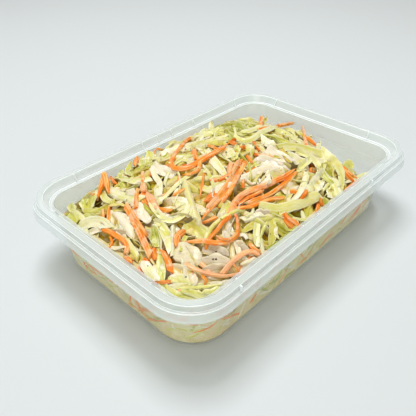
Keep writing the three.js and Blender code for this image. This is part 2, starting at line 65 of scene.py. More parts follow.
# ---- Heap, as in the CAD ----
CROWN = (-5, 8, 46)
EDGE_LEFT, EDGE_RIGHT, EDGE_NEAR, EDGE_FAR = 32, 14, 31, 28
REACH_X, REACH_Y = 77, 49
HEAP_SKEW = 0.13
RIGHT_POWER = 2.8
EDGE_BLEND = 1.6
PLAN_CORNER = 14                 # plan radius of the corners that pieces keep inside

# ---- Camera ----
CAMERA_PLACE = np.array([-157.962, -134.288, 163.789])
CAMERA_AZIMUTH = math.radians(-46.337)
CAMERA_ELEVATION = math.radians(36.2376)
CAMERA_ROLL = math.radians(-0.3208)
FRAME_SIDE = 416
FOCAL_PIXELS = 488.42
SENSOR_WIDTH = 36


def camera_axes():
    """The camera's right, up and back directions."""
    azimuth, elevation = CAMERA_AZIMUTH, CAMERA_ELEVATION
    flat = math.cos(elevation)
    back = np.array([math.sin(azimuth) * flat, -math.cos(azimuth) * flat, math.sin(elevation)])
    level = np.array([math.cos(azimuth), math.sin(azimuth), 0.0])
    upright = np.cross(back, level)
    right = level * math.cos(CAMERA_ROLL) + upright * math.sin(CAMERA_ROLL)
    up = upright * math.cos(CAMERA_ROLL) - level * math.sin(CAMERA_ROLL)
    return right, up, back


RIGHT, UP, BACK = camera_axes()


def view_rays(pixels):
    """Directions through pixels of the 416 x 416 frame."""
    pixels = np.asarray(pixels, float)
    across = (pixels[:, :1] - FRAME_SIDE / 2) / FOCAL_PIXELS
    down = (pixels[:, 1:2] - FRAME_SIDE / 2) / FOCAL_PIXELS
    return RIGHT * across - UP * down - BACK


def at_heights(pixels, heights):
    """The points seen at these pixels that lie at these heights."""
    rays = view_rays(pixels)
    reach = (np.asarray(heights) - CAMERA_PLACE[2]) / rays[:, 2]
    return CAMERA_PLACE + rays * reach[:, None]


def to_pixels(points):
    """The pixels at which points are seen."""
    offset = np.asarray(points, float) - CAMERA_PLACE
    depth = -(offset @ BACK)
    across = FRAME_SIDE / 2 + FOCAL_PIXELS * (offset @ RIGHT) / depth
    down = FRAME_SIDE / 2 - FOCAL_PIXELS * (offset @ UP) / depth
    return np.column_stack([across, down])


# ---- Shape of the heap ----

def heap_height(x, y):
    """Height of the heap's outer surface."""
    along = x - HEAP_SKEW * y - CROWN[0]
    across = y - CROWN[1]
    fall_left = (CROWN[2] - EDGE_LEFT) * np.abs(along / (REACH_X + CROWN[0])) ** 2
    fall_right = (CROWN[2] - EDGE_RIGHT) * np.abs(along / (REACH_X - CROWN[0])) ** RIGHT_POWER
    fall_near = (CROWN[2] - EDGE_NEAR) * np.abs(across / (REACH_Y + CROWN[1])) ** 2
    fall_far = (CROWN[2] - EDGE_FAR) * np.abs(across / (REACH_Y - CROWN[1])) ** 2
    fall_x = np.where(along < 0, fall_left, fall_right)
    fall_y = np.where(across < 0, fall_near, fall_far)
    return CROWN[2] - (fall_x ** EDGE_BLEND + fall_y ** EDGE_BLEND) ** (1 / EDGE_BLEND)


def inside_wall(x, y, margin):
    """Whether plan points are inside the tub's wall by a margin."""
    over_x = np.abs(x) - (LENGTH / 2 - BODY_TOP_INSET - WALL - margin - PLAN_CORNER)
    over_y = np.abs(y) - (WIDTH / 2 - BODY_TOP_INSET - WALL - margin - PLAN_CORNER)
    return np.hypot(np.maximum(over_x, 0), np.maximum(over_y, 0)) <= PLAN_CORNER


def press_inside(points):
    """Moves what would pass through the tub's wall onto the wall's inside."""
    level = np.clip(points[:, 2], FLOOR_FILLET, HEIGHT - SEAT_DROP)
    corner = body_corner(level) - WALL
    flat_x = LENGTH / 2 - body_inset(level) - WALL + WALL_BITE - corner
    flat_y = WIDTH / 2 - body_inset(level) - WALL + WALL_BITE - corner
    over_x = np.abs(points[:, 0]) - flat_x
    over_y = np.abs(points[:, 1]) - flat_y
    over = np.hypot(np.maximum(over_x, 0), np.maximum(over_y, 0))
    share = corner / np.maximum(over, corner)
    x = np.where(over_x > 0, flat_x + over_x * share, np.abs(points[:, 0]))
    y = np.where(over_y > 0, flat_y + over_y * share, np.abs(points[:, 1]))
    return np.column_stack([np.copysign(x, points[:, 0]), np.copysign(y, points[:, 1]), points[:, 2]])


RAY_REACH = np.arange(110, 340, 0.15)    # distances from the camera that are tried on a ray
RAY_MARGIN = 0.5                 # how far inside the wall a ray has to meet the heap
NOWHERE = 99                     # stands for a height that no place has
MOST_LIFT = 6                    # how far off the heap a piece may stand to be seen at its pixel
LIFT_SPARE = 0.3


def ray_points(pixel):
    """Points along the ray that a pixel sees."""
    return CAMERA_PLACE + RAY_REACH[:, None] * view_rays([pixel])


def first_under(points, over):
    """The first point on a ray that is under a surface, or else the one nearest to it."""
    met = np.flatnonzero(over > 0)
    return points[met[0] if len(met) else over.argmax()]


def on_heap(pixel, lift):
    """The point of the heap's surface, raised by a lift, that a pixel sees, or the nearest to its ray."""
    points = ray_points(pixel)
    over = heap_height(points[:, 0], points[:, 1]) + lift - points[:, 2]
    inside = inside_wall(points[:, 0], points[:, 1], RAY_MARGIN)
    return first_under(points, np.where(inside, over, -NOWHERE))


def lifts_seen(pixels):
    """How far off the heap each place stands: as given, or enough for its pixel to see it."""
    lifts = []
    for pixel in pixels:
        given = pixel[2] if len(pixel) > 2 else 0
        points = ray_points(pixel[:2])
        short = points[:, 2] - heap_height(points[:, 0], points[:, 1])
        short = np.where(inside_wall(points[:, 0], points[:, 1], RAY_MARGIN), short, NOWHERE).min()
        lifts.append(max(given, min(short + LIFT_SPARE, MOST_LIFT)))
    return lifts


# ---- Field of heights that pieces are laid on ----

CELL = 0.5
HALF_X, HALF_Y = 82, 54
COLUMNS, ROWS = int(2 * HALF_X / CELL) + 1, int(2 * HALF_Y / CELL) + 1
FIELD_X, FIELD_Y = np.meshgrid(np.linspace(-HALF_X, HALF_X, COLUMNS), np.linspace(-HALF_Y, HALF_Y, ROWS))
HEAP = heap_height(FIELD_X, FIELD_Y)
CORE_DEPTH = 7.0                 # bare core under the heap's surface
field = HEAP - CORE_DEPTH
cavity = np.zeros(field.shape)   # 1 in the gaps that stay open


def cells(x, y):
    """Rows and columns of the field at plan points."""
    column = np.clip(np.rint((x + HALF_X) / CELL).astype(int), 0, COLUMNS - 1)
    row = np.clip(np.rint((y + HALF_Y) / CELL).astype(int), 0, ROWS - 1)
    return row, column


def plan_disc(x, y, radius):
    """The cells within a radius of a plan point."""
    return (FIELD_X - x) ** 2 + (FIELD_Y - y) ** 2 < radius ** 2


def blurred(values, radius):
    """Values averaged over a neighbourhood, by two passes of a box each way."""
    reach = max(int(radius / CELL), 1)
    for _ in range(2):
        for axis in (0, 1):
            padded = np.pad(values, [(reach, reach) if axis == k else (0, 0) for k in (0, 1)], mode="edge")
            total = np.cumsum(padded, axis=axis)
            total = np.concatenate([np.zeros_like(np.take(total, [0], axis=axis)), total], axis=axis)
            size = values.shape[axis]
            high = np.take(total, np.arange(size) + 2 * reach + 1, axis=axis)
            low = np.take(total, np.arange(size), axis=axis)
            values = (high - low) / (2 * reach + 1)
    return values


# ---- Paths ----

CURVE_STEPS = 12
SMOOTHINGS = 3
ACROSS_PLACES = (-0.4, -0.2, 0, 0.2, 0.4)    # places across a strip that feel what it lies on


def smooth_curve(points, step):
    """Points a step apart along a smooth curve through the given ones."""
    points = np.asarray(points, float)
    if len(points) == 2:
        points = np.array([points[0], points.mean(0), points[1]])
    padded = np.vstack([2 * points[0] - points[1], points, 2 * points[-1] - points[-2]])
    share = np.linspace(0, 1, CURVE_STEPS, endpoint=False)[:, None]
    runs = []
    for a, b, c, d in zip(padded, padded[1:], padded[2:], padded[3:]):
        runs.append(0.5 * (2 * b + (c - a) * share + (2 * a - 5 * b + 4 * c - d) * share ** 2
                           + (3 * b - a - 3 * c + d) * share ** 3))
    fine = np.vstack(runs + [points[-1:]])
    lengths = np.r_[0, np.cumsum(np.linalg.norm(np.diff(fine, axis=0), axis=1))]
    count = max(int(round(lengths[-1] / step)), 4)
    wanted = np.linspace(0, lengths[-1], count + 1)
    return np.column_stack([np.interp(wanted, lengths, fine[:, k]) for k in range(fine.shape[1])])


def tangents(path):
    """Directions along a path."""
    along = np.gradient(path, axis=0)
    return along / np.maximum(np.linalg.norm(along, axis=1), 1e-9)[:, None]


def drape(rest, spacing, radius):
    """The lowest line over the rest heights that nowhere sags tighter than a radius."""
    distance = np.arange(len(rest)) * spacing
    sag = distance ** 2 / (2 * radius)
    level = rest - sag
    hull = []
    for i in range(len(level)):
        while len(hull) > 1:
            a, b = hull[-2], hull[-1]
            rise = (level[i] - level[a]) * (distance[b] - distance[a])
            if rise < (level[b] - level[a]) * (distance[i] - distance[a]):
                break
            hull.pop()
        hull.append(i)
    line = np.interp(distance, distance[hull], level[hull]) + sag
    for _ in range(SMOOTHINGS):
        line[1:-1] = (line[:-2] + 2 * line[1:-1] + line[2:]) / 4
    return line


def resting_heights(path, width):
    """The second highest of the places across the strip, at each station."""
    along = tangents(path[:, :2])
    side = np.column_stack([-along[:, 1], along[:, 0]])
    found = []
    for share in ACROSS_PLACES:
        x, y = path[:, 0] + side[:, 0] * share * width, path[:, 1] + side[:, 1] * share * width
        found.append(field[cells(x, y)])
    return np.sort(found, axis=0)[-2]


def wobble(count, waves, strength):
    """A smooth random line: a few sine waves of random phase."""
    share = np.linspace(0, 1, count)
    line = np.zeros(count)
    for wave in range(1, 4):
        line += np.sin(share * waves * wave * 2.4 + random.uniform(0, ANY_PHASE)) / wave
    return line * strength * 0.6


# ---- Strips ----

SHARP_EDGE = math.radians(50)
SHADE_REACH = 1.2                # pieces this near shade a point
SHADE_START, SHADE_SPAN = 0.2, 2.3   # depths among them where the painted shade begins, and over which it grows


class Batch:
    """Strips of one kind, gathered into one mesh with their own surface values."""

    def __init__(self, name):
        self.name = name
        self.points = []
        self.faces = []
        self.grain = []
        self.values = []
        self.count = 0

    def add(self, points, faces, grain, values):
        """Adds a piece, with one set of values for all its points."""
        self.points.append(points)
        self.faces.append(faces + self.count)
        self.grain.append(grain)
        self.values.append(np.tile(np.asarray(values, np.float32), (len(points), 1)))
        self.count += len(points)

    def shade_sunk(self, surface, column):
        """Adds to this column of values how deep each point lies under the surface of pieces, as painted
        shade.
        """
        for points, values in zip(self.points, self.values):
            sunk = surface[cells(points[:, 0], points[:, 1])] - points[:, 2]
            values[:, column] += np.clip((sunk - SHADE_START) / SHADE_SPAN, 0, 1)
            values[:, column] = np.clip(values[:, column], 0, 1)

    def build(self, material, slot):
        """One smooth mesh object that rides on the part."""
        make_piece(self.name, np.vstack(self.points), np.vstack(self.faces).tolist(), np.vstack(self.values),
                   material, np.vstack(self.grain))


def store(mesh, name, vectors):
    """Keeps a vector for each point of a mesh, for its material."""
    attribute = mesh.attributes.new(name, "FLOAT_VECTOR", "POINT")
    attribute.data.foreach_set("vector", vectors.astype(np.float32).ravel())


def make_piece(name, points, faces, values, material, grain=None):
    """A smooth mesh object from points in millimetres, which rides on the part."""
    mesh = bpy.data.meshes.new(name)
    mesh.from_pydata((points * MM).tolist(), [], faces)
    if grain is not None:
        store(mesh, "grain", grain)
    store(mesh, "piece", values)
    mesh.validate()
    mesh.polygons.foreach_set("use_smooth", np.ones(len(mesh.polygons), bool))
    mesh.set_sharp_from_angle(angle=SHARP_EDGE)
    mesh.materials.append(material)
    piece = bpy.data.objects.new(name, mesh)
    bpy.context.scene.collection.objects.link(piece)
    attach(piece, "root")
    return piece


def ring_quads(rings, count):
    """Quads between closed rings of points, one after another."""
    ring, i = np.meshgrid(np.arange(rings - 1), np.arange(count), indexing="ij")
    a = ring * count + i
    b = ring * count + (i + 1) % count
    return np.stack([a, b, b + count, a + count], axis=-1).reshape(-1, 4)


def closed_faces(rings, count):
    """Faces between rings of points, and one over the first ring and one over the last."""
    last = (rings - 1) * count
    return ring_quads(rings, count).tolist() + [list(range(count))[::-1], list(range(last, last + count))]


def tube_faces(stations, sides):
    """Quads of a closed tube of rings, with its two ends closed by quads too."""
    i = np.arange(sides // 2 - 1)
    first = np.stack([sides - 1 - i, sides - 2 - i, i + 1, i], axis=-1)
    last = first[:, ::-1] + (stations - 1) * sides
    return np.vstack([ring_quads(stations, sides), first, last])


def section(sides, corner):
    """A rounded section, as places across from -1 to 1 and up from -1 to 1."""
    angle = (np.arange(sides) + 0.5) / sides * FULL_TURN
    across, up = np.cos(angle), np.sin(angle)
    return np.sign(across) * np.abs(across) ** corner, np.sign(up) * np.abs(up) ** corner


def sheet_section(columns):
    """A thin sheet's section: along its upper face from left to right, and back along the lower."""
    across = np.linspace(-1, 1, columns)
    up = 1 - 0.6 * across ** 4
    return np.r_[across, across[::-1]], np.r_[up, -up]


def stick_section(sides):
    """A stick's section, nearly square, in the same order as a sheet's."""
    across, up = section(sides, 0.45)
    return -across, up


PLAIN_TAPER = 0.8                # power by which an edge narrows to its tip
FACES_APART = 0.05               # how far the grain of a strip's two faces differs, as a share of its width
FIRM_WIDTH = 0.85                # share of its width that carries what is laid on it


def edge_line(stations, ends, ragged, teeth, power=PLAIN_TAPER):
    """One edge of a strip as a share of its half width: its ends' shapes, its waves and its tears."""
    share = np.linspace(0, 1, stations)
    line = np.ones(stations)
    for distance, (reach, tip) in zip((share, 1 - share), ends):
        line *= tip + (1 - tip) * np.clip(distance / reach, 0, 1) ** power
    knots = max(int(teeth), 3)
    torn = np.interp(share, np.linspace(0, 1, knots), random.uniform(-1, 1, knots))
    return line * (1 + ragged * torn + wobble(stations, 2, ragged * 0.5))


def crumple(stations, across, waves, strength, sharp, sizes):
    """Uneven bends of several sizes over a strip's face, rounded or sharply creased."""
    along = np.linspace(0, waves, stations)[:, None]
    total = np.zeros((stations, len(across)))
    for size in sizes:
        heading = random.uniform(0, math.pi)
        pace = random.uniform(0.6, 1.8) / size
        turn = pace * (along * math.cos(heading) * 3 + across * math.sin(heading) * 2)
        turn = turn + random.uniform(0, ANY_PHASE)
        total += size * (np.abs(np.sin(turn)) * 2 - 1.3 if sharp else np.sin(turn))
    return total / 4 * strength


def faced(path, along, facing):
    """Directions across and off a strip that lies along the heap, turned partly towards the viewer."""
    x, y = path[:, 0], path[:, 1]
    slope_x = heap_height(x + 1, y) - heap_height(x - 1, y)
    slope_y = heap_height(x, y + 1) - heap_height(x, y - 1)
    off = np.column_stack([-slope_x / 2, -slope_y / 2, np.ones(len(path))])
    off /= np.linalg.norm(off, axis=1)[:, None]
    sight = CAMERA_PLACE - path
    sight /= np.linalg.norm(sight, axis=1)[:, None]
    side = np.cross(along, off * (1 - facing) + sight * facing)
    side /= np.maximum(np.linalg.norm(side, axis=1), 1e-6)[:, None]
    return side, np.cross(side, along)


def turned(path, along, shape):
    """Directions across and off a strip, after its roll and twist."""
    stations = len(path)
    roll = shape["roll"] + shape["twist"] * np.linspace(-0.5, 0.5, stations) + wobble(stations, 2, 0.15)
    side, normal = faced(path, along, shape["facing"])
    side = side * np.cos(roll)[:, None] + normal * np.sin(roll)[:, None]
    return side, np.cross(side, along)


def edge_lines(stations, length, shape):
    """A strip's left and right edges, as shares of its half width."""
    teeth = length / shape["tooth"]
    power = shape.get("taper", PLAIN_TAPER)
    return [edge_line(stations, shape[ends], shape["ragged"], teeth, power)[:, None]
            for ends in ("left ends", "right ends")]


def face_bends(across, stations, length, width, shape):
    """How far a strip's face stands off its path: its cup, its fold, its ruffled edges and its dents."""
    cup = shape["cup"] * np.linspace(1, random.uniform(-0.4, 1), stations)[:, None]
    bend = cup * (across ** 2 - 0.4) + shape["fold"] * (np.abs(across) - 0.5)
    waves = length / max(width, 3)
    ruffle = crumple(stations, across, waves * 2, shape["ruffle"], False, shape["sizes"]) * across ** 2
    dents = crumple(stations, across, waves, shape["crumple"], shape["sharp"], shape["sizes"])
    return bend + ruffle + dents


def slant_cut(offset, skew):
    """How far points move along a strip so that its ends are cut at a slant."""
    ends = np.zeros((len(offset), 1))
    ends[:2, 0], ends[-2:, 0] = (1, 0.4), (0.4, 1)
    return skew * offset * ends


def grain_of(stations, spacing, aside, across):
    """Where points are in a strip: along it from a random start, aside from its path, and -1 to 1 across."""
    along = random.uniform(0, 500) + np.arange(stations)[:, None] * spacing
    return np.stack(np.broadcast_arrays(along, aside, across), axis=-1).reshape(-1, 3)


def add_strip(batch, path, width, thickness, look, shape):
    """A strip along a path. look is its tint, sauce and shade, and shape its section, ends and bends."""
    stations = len(path)
    spacing = float(np.linalg.norm(np.diff(path, axis=0), axis=1).mean())
    length = stations * spacing
    across, up = shape["section"]
    along = tangents(path)
    side, normal = turned(path, along, shape)
    left, right = edge_lines(stations, length, shape)
    offset = across * width / 2 * np.where(across < 0, left, right)
    full = np.minimum(left, right)
    bends = face_bends(across, stations, length, width, shape) * np.clip(full * 1.4, 0, 1)
    rise = up * thickness / 2 * np.clip(full * 1.6, 0.35, 1) + bends
    cut = slant_cut(offset, shape["skew"])
    points = (path[:, None, :] + side[:, None, :] * offset[..., None]
              + normal[:, None, :] * rise[..., None] + along[:, None, :] * cut[..., None])
    grain = grain_of(stations, spacing, offset + width * up * FACES_APART, across)
    batch.add(press_inside(points.reshape(-1, 3)), tube_faces(stations, len(across)), grain, look)
    raise_field(path, side, width * FIRM_WIDTH, thickness)


def raise_field(path, side, width, thickness):
    """Lifts the field to the upper face of a strip."""
    fine = smooth_curve(np.hstack([path, side]), CELL)
    for share in np.linspace(-0.45, 0.45, max(int(width / CELL), 3)):
        spot = fine[:, :3] + fine[:, 3:] * share * width
        np.maximum.at(field, cells(spot[:, 0], spot[:, 1]), spot[:, 2] + thickness / 2)


def random_ends(sharpness):
    """Two ends of an edge, each as the share of the length it narrows over and its width at the tip."""
    ends = []
    for _ in range(2):
        if random.random() < sharpness:
            ends.append((random.uniform(0.15, 0.4), random.uniform(0.05, 0.25)))
        else:
            ends.append((random.uniform(0.02, 0.1), random.uniform(0.55, 1)))
    return ends


def paired_ends(sharpness):
    """Ends for a strip's left and right edges: sharp or cut on both, but not alike."""
    left = random_ends(sharpness)
    right = [(min(reach * random.uniform(0.4, 1.8), 0.6), tip * random.uniform(0.5, 1.2))
             for reach, tip in left]
    return {"left ends": left, "right ends": right}


def either(low, high):
    """A random amount of this size, to one way or the other."""
    return random.uniform(low, high) * random.choice([-1, 1])


SMOOTH_BENDS = (1, 1, 1, 1)      # sizes of the bends in ribbons and carrots, in leaves and in sheets
LEAF_BENDS = (1, 1, 1, 1, 0.4, 0.4)
SHEET_BENDS = (1, 1, 0.6)
# How ribbons lie: their spread of roll and of twist, how far they face the viewer, and how rough they are.
LOOSE = (0.5, 1.3, 0.35, 1)
PLACED = (0.25, 0.4, 0.6, 0.6)
BROAD = (0.1, 0.15, 0.55, 0.35)


def ribbon_shape(width, manner=LOOSE):
    """A cabbage ribbon's random section, roll, ends and edges. Placed and broad ones face the viewer more."""
    roll, twist, facing, rough = manner
    return {
        "section": sheet_section(5), "skew": random.normal(0, 1.0), **paired_ends(0.25),
        "roll": random.normal(0, roll), "twist": random.normal(0, twist), "ragged": 0.08, "tooth": 5,
        "cup": either(0.15, 0.4) * width * min(rough * 1.6, 1), "fold": either(0.05, 0.2) * width,
        "facing": facing, "ruffle": 0.16 * width * rough, "crumple": 0.07 * width * rough,
        "sharp": random.random() < 0.1, "sizes": SMOOTH_BENDS,
    }


def leaf_shape(width, placed=False, pointed=0.35):
    """A piece of leaf: torn edges, folds and dents. A placed one lies flatter to the viewer."""
    roll, twist, facing, bent = (0.2, 0.3, 0.5, 0.6) if placed else (0.35, 0.7, 0.4, 1)
    return {
        "section": sheet_section(13 if placed else 9), "skew": random.normal(0, 0.5), **paired_ends(pointed),
        "roll": random.normal(0, roll), "twist": random.normal(0, twist), "ragged": 0.4, "tooth": 3.2,
        "cup": either(0.05, 0.2) * width * bent, "fold": either(0.1, 0.3) * width * bent, "facing": facing,
        "ruffle": 0.14 * width, "crumple": 0.07 * width, "sharp": random.random() < 0.6,
        "sizes": LEAF_BENDS,
    }


def sheet_shape(width):
    """A broad piece of leaf with a rounded, uneven outline and a few folds."""
    ends = [(random.uniform(0.25, 0.5), random.uniform(0.02, 0.35)) for _ in range(4)]
    return {
        "section": sheet_section(13), "skew": 0, "left ends": ends[:2], "right ends": ends[2:], "taper": 0.6,
        "roll": random.normal(0, 0.15), "twist": random.normal(0, 0.25), "ragged": 0.26, "tooth": 2.5,
        "cup": either(0.05, 0.14) * width, "fold": either(0.04, 0.12) * width, "facing": 0.6,
        "ruffle": 0.1 * min(width, 6), "crumple": 0.11 * min(width, 6), "sharp": random.random() < 0.7,
        "sizes": SHEET_BENDS,
    }


def carrot_shape():
    """A carrot strand: nearly square in section, slightly twisted, with blunt or sharp ends."""
    return {
        "facing": 0.2, "section": stick_section(8), "skew": random.uniform(-0.8, 0.8), **paired_ends(0.25),
        "roll": random.normal(0, 0.5), "twist": random.normal(0, 0.9), "ragged": 0.08, "tooth": 5,
        "cup": 0.0, "fold": 0.0, "ruffle": 0.0, "crumple": 0.12, "sharp": False, "sizes": SMOOTH_BENDS,
    }


# ---- Areas of the heap: centre pixel, radius in pixels, tint from white to green, share of dressing ----
AREAS = {
    "left leaves": (85, 205, 22, 0.75, 0.15),
    "left foot": (92, 235, 20, 0.35, 0.45),
    "upper left": (150, 165, 28, 0.60, 0.20),
    "top leaves": (240, 132, 20, 1.00, 0.05),
    "top middle": (215, 165, 22, 0.30, 0.40),
    "top right": (290, 140, 25, 0.50, 0.20),
    "right": (325, 180, 28, 0.40, 0.25),
    "white heart": (275, 165, 20, 0.10, 0.80),
    "centre": (225, 190, 25, 0.40, 0.40),
    "dressed": (205, 257, 32, 0.15, 0.95),
    "left middle": (160, 220, 28, 0.40, 0.35),
    "near corner": (185, 292, 16, 0.40, 0.10),
    "near wall": (280, 235, 28, 0.80, 0.15),
    "left corner": (140, 270, 18, 0.35, 0.60),
}
PLAIN_AREA = (0.02, 0.45, 0.40)   # weight, tint and dressing everywhere


def area_look(point):
    """Tint and dressing of the heap at a point."""
    pixel = to_pixels(point[None])[0]
    weight, tint, sauce = PLAIN_AREA
    tint, sauce = tint * weight, sauce * weight
    for u, v, radius, area_tint, area_sauce in AREAS.values():
        near = math.exp(-((pixel[0] - u) ** 2 + (pixel[1] - v) ** 2) / (2 * radius ** 2))
        weight += near
        tint += near * area_tint
        sauce += near * area_sauce
    return tint / weight, sauce / weight


# Gaps that stay open and dark: pixel and radius in millimetres.
CAVITIES = (
    (98, 241, 2), (112, 244, 2), (123, 212, 2), (99, 204, 2.5), (195, 192, 2), (172, 180, 2),
    (162, 205, 2), (168, 229, 2), (178, 226, 1.5), (168, 251, 2), (172, 265, 2), (224, 169, 2.5),
    (235, 194, 3), (265, 190, 2.5), (272, 187, 2.5), (254, 227, 1.6), (252, 234, 1.6), (262, 234, 2),
    (267, 238, 1.8), (294, 214, 2.5), (300, 213, 1.5), (309, 162, 3), (316, 174, 2.2), (327, 174, 2),
    (307, 187, 1.6), (335, 189, 1.3), (322, 194, 1.3), (316, 202, 1.8), (287, 153, 2), (295, 157, 1.6),
    (289, 141, 1.8), (230, 256, 2), (218, 271, 1.8), (230, 278, 2), (257, 209, 1.6), (265, 211, 1.6),
    (195, 264, 1.5), (146, 172, 1.8), (150, 180, 2), (160, 175, 1.8), (141, 198, 1.8), (183, 229, 1.8),
    (190, 245, 2), (197, 246, 2), (98, 200, 2), (131, 186, 1.8), (234, 141, 1.8), (247, 214, 1.6),
    (142, 215, 1.6), (212, 240, 1.8), (133, 174, 2),
)

# ---- Listed pieces: width, tint, dressing, shade, and the pixels that they pass, some with a
# third number, their height off the heap in millimetres. Carrots have no tint. Within a list, what
# comes later is laid over what comes before it.
LEAVES = {
    "left pale": (7.5, 0.7, 0.1, 0, ((88, 214), (88, 206), (89, 197, 1))),
    "left fold": (5, 0.75, 0.1, 0.15, ((84, 213), (93, 212), (103, 209))),
    "left lime": (5, 0.8, 0.1, 0.05, ((80, 217), (90, 218), (101, 216))),
    "left tip": (5.5, 0.7, 0.1, 0.05, ((76, 224), (73, 216, 0.6), (71, 208, 1.2))),
    "cream fold": (6, 0.1, 0.7, 0, ((152, 165), (164, 171), (176, 174))),
    "cream cluster": (6, 0.25, 0.4, 0, ((223, 147), (228, 158))),
    "middle round": (6.5, 0.35, 0.3, 0, ((242, 149), (252, 156))),
    "green stump": (5, 0.6, 0.3, 0, ((247, 168), (256, 163), (262, 160))),
    "white heart": (8, 0.0, 0.9, 0, ((262, 153), (275, 157), (289, 163))),
    "white heart two": (7, 0.05, 0.9, 0, ((262, 168), (275, 167), (288, 169))),
    "shaded olive": (5, 0.7, 0.4, 0.5, ((276, 151), (284, 155), (291, 161))),
    "beige right": (6, 0.3, 0.6, 0, ((291, 158), (300, 162), (308, 166))),
    "white low": (6.5, 0.05, 0.9, 0.1, ((279, 188), (288, 187), (297, 184))),
    "green right": (5, 0.9, 0.1, 0.3, ((323, 163), (327, 170), (329, 177))),
    "pale right": (5.5, 0.4, 0.2, 0, ((318, 164), (321, 171), (322, 178))),
    "round right": (7.5, 0.15, 0.4, 0, ((323, 177), (315, 185), (311, 197))),
    "white right": (6.5, 0.2, 0.3, 0, ((326, 178), (333, 189), (337, 200))),
    "yellow wall": (6, 0.85, 0.0, 0.15, ((321, 199), (326, 205), (331, 208))),
    "square": (8, 0.5, 0.3, 0.1, ((188, 223), (195, 230), (203, 239))),
    "middle green": (7, 0.95, 0.1, 0.05, ((155, 223), (157, 235), (159, 248))),
    "beige patch": (4.5, 0.1, 1.0, 0, ((255, 212), (263, 214), (271, 216))),
    "wall leaf": (7, 0.4, 0.2, 0, ((271, 215), (281, 219), (291, 228))),
    "wall olive": (4.5, 0.95, 0.1, 0.3, ((274, 226), (281, 232), (290, 237))),
    "corner frill": (5.5, 0.5, 0.0, 0, ((161, 287), (178, 295), (197, 297), (214, 291))),
    "corner left": (3, 0.4, 0.0, 0, ((161, 283, 1), (168, 290), (176, 296))),
    "corner middle": (3.2, 0.4, 0.0, 0, ((180, 291, 0.5), (187, 295), (195, 298))),
    "corner tooth": (2.6, 0.5, 0.0, 0, ((192, 290), (197, 294), (201, 299))),
    "corner right": (3.2, 0.4, 0.0, 0, ((201, 297), (208, 293), (216, 289))),
    "corner band": (3.4, 0.2, 0.2, 0, ((168, 289, 0.5), (188, 286, 0.8), (208, 286, 0.8), (229, 284, 0.8))),
}

# Broad sheets with uneven outlines, most of them soaked in dressing.
SHEETS = {
    "dressed far": (5.5, 0.1, 1.0, 0.15, ((226, 245), (237, 248), (249, 251))),
    "dressed lower": (6, 0.1, 1.0, 0.1, ((202, 270), (216, 270), (231, 269))),
    "dressed near": (5, 0.1, 0.97, 0.15, ((205, 278), (218, 280), (231, 281))),
    "dressed foot": (3.6, 0.3, 0.7, 0.1, ((210, 284), (222, 285), (233, 280))),
    "dressed right": (6.5, 0.15, 0.95, 0.05, ((232, 258), (242, 263), (252, 269))),
    "dressed upper": (6.5, 0.1, 0.97, 0.05, ((202, 250), (215, 252), (229, 255))),
    "dressed middle": (7, 0.1, 0.95, 0.05, ((198, 260), (209, 262), (221, 264), (233, 265))),
    "round dressed": (9.5, 0.35, 0.9, 0.05, ((173, 257), (187, 255), (202, 257))),
    "pale dressed": (6.5, 0.3, 0.7, 0.1, ((169, 268), (181, 272), (195, 272))),
    "pale fold": (5.5, 0.15, 0.9, 0.1, ((187, 262), (190, 274), (193, 287))),
    "pale foot": (4.5, 0.3, 0.5, 0, ((168, 278), (180, 280), (191, 284))),
    "crest lime": (6.5, 0.95, 0.0, 0, ((229, 129), (238, 133), (249, 134))),
    "crest pale": (6, 0.45, 0.1, 0, ((264, 134), (276, 139), (289, 147))),
    "crest left": (6, 0.35, 0.3, 0, ((204, 137), (213, 133), (224, 131))),
    "heart fold": (6, 0.1, 0.92, 0, ((254, 160), (268, 162), (283, 165))),
    "middle pale": (5.5, 0.3, 0.4, 0, ((176, 200), (184, 207), (190, 217))),
    "left dressing": (6.5, 0.0, 0.87, 0, ((132, 201), (140, 211), (149, 223))),
    "left cream": (5, 0.1, 0.8, 0, ((118, 213), (126, 224), (134, 238))),
}

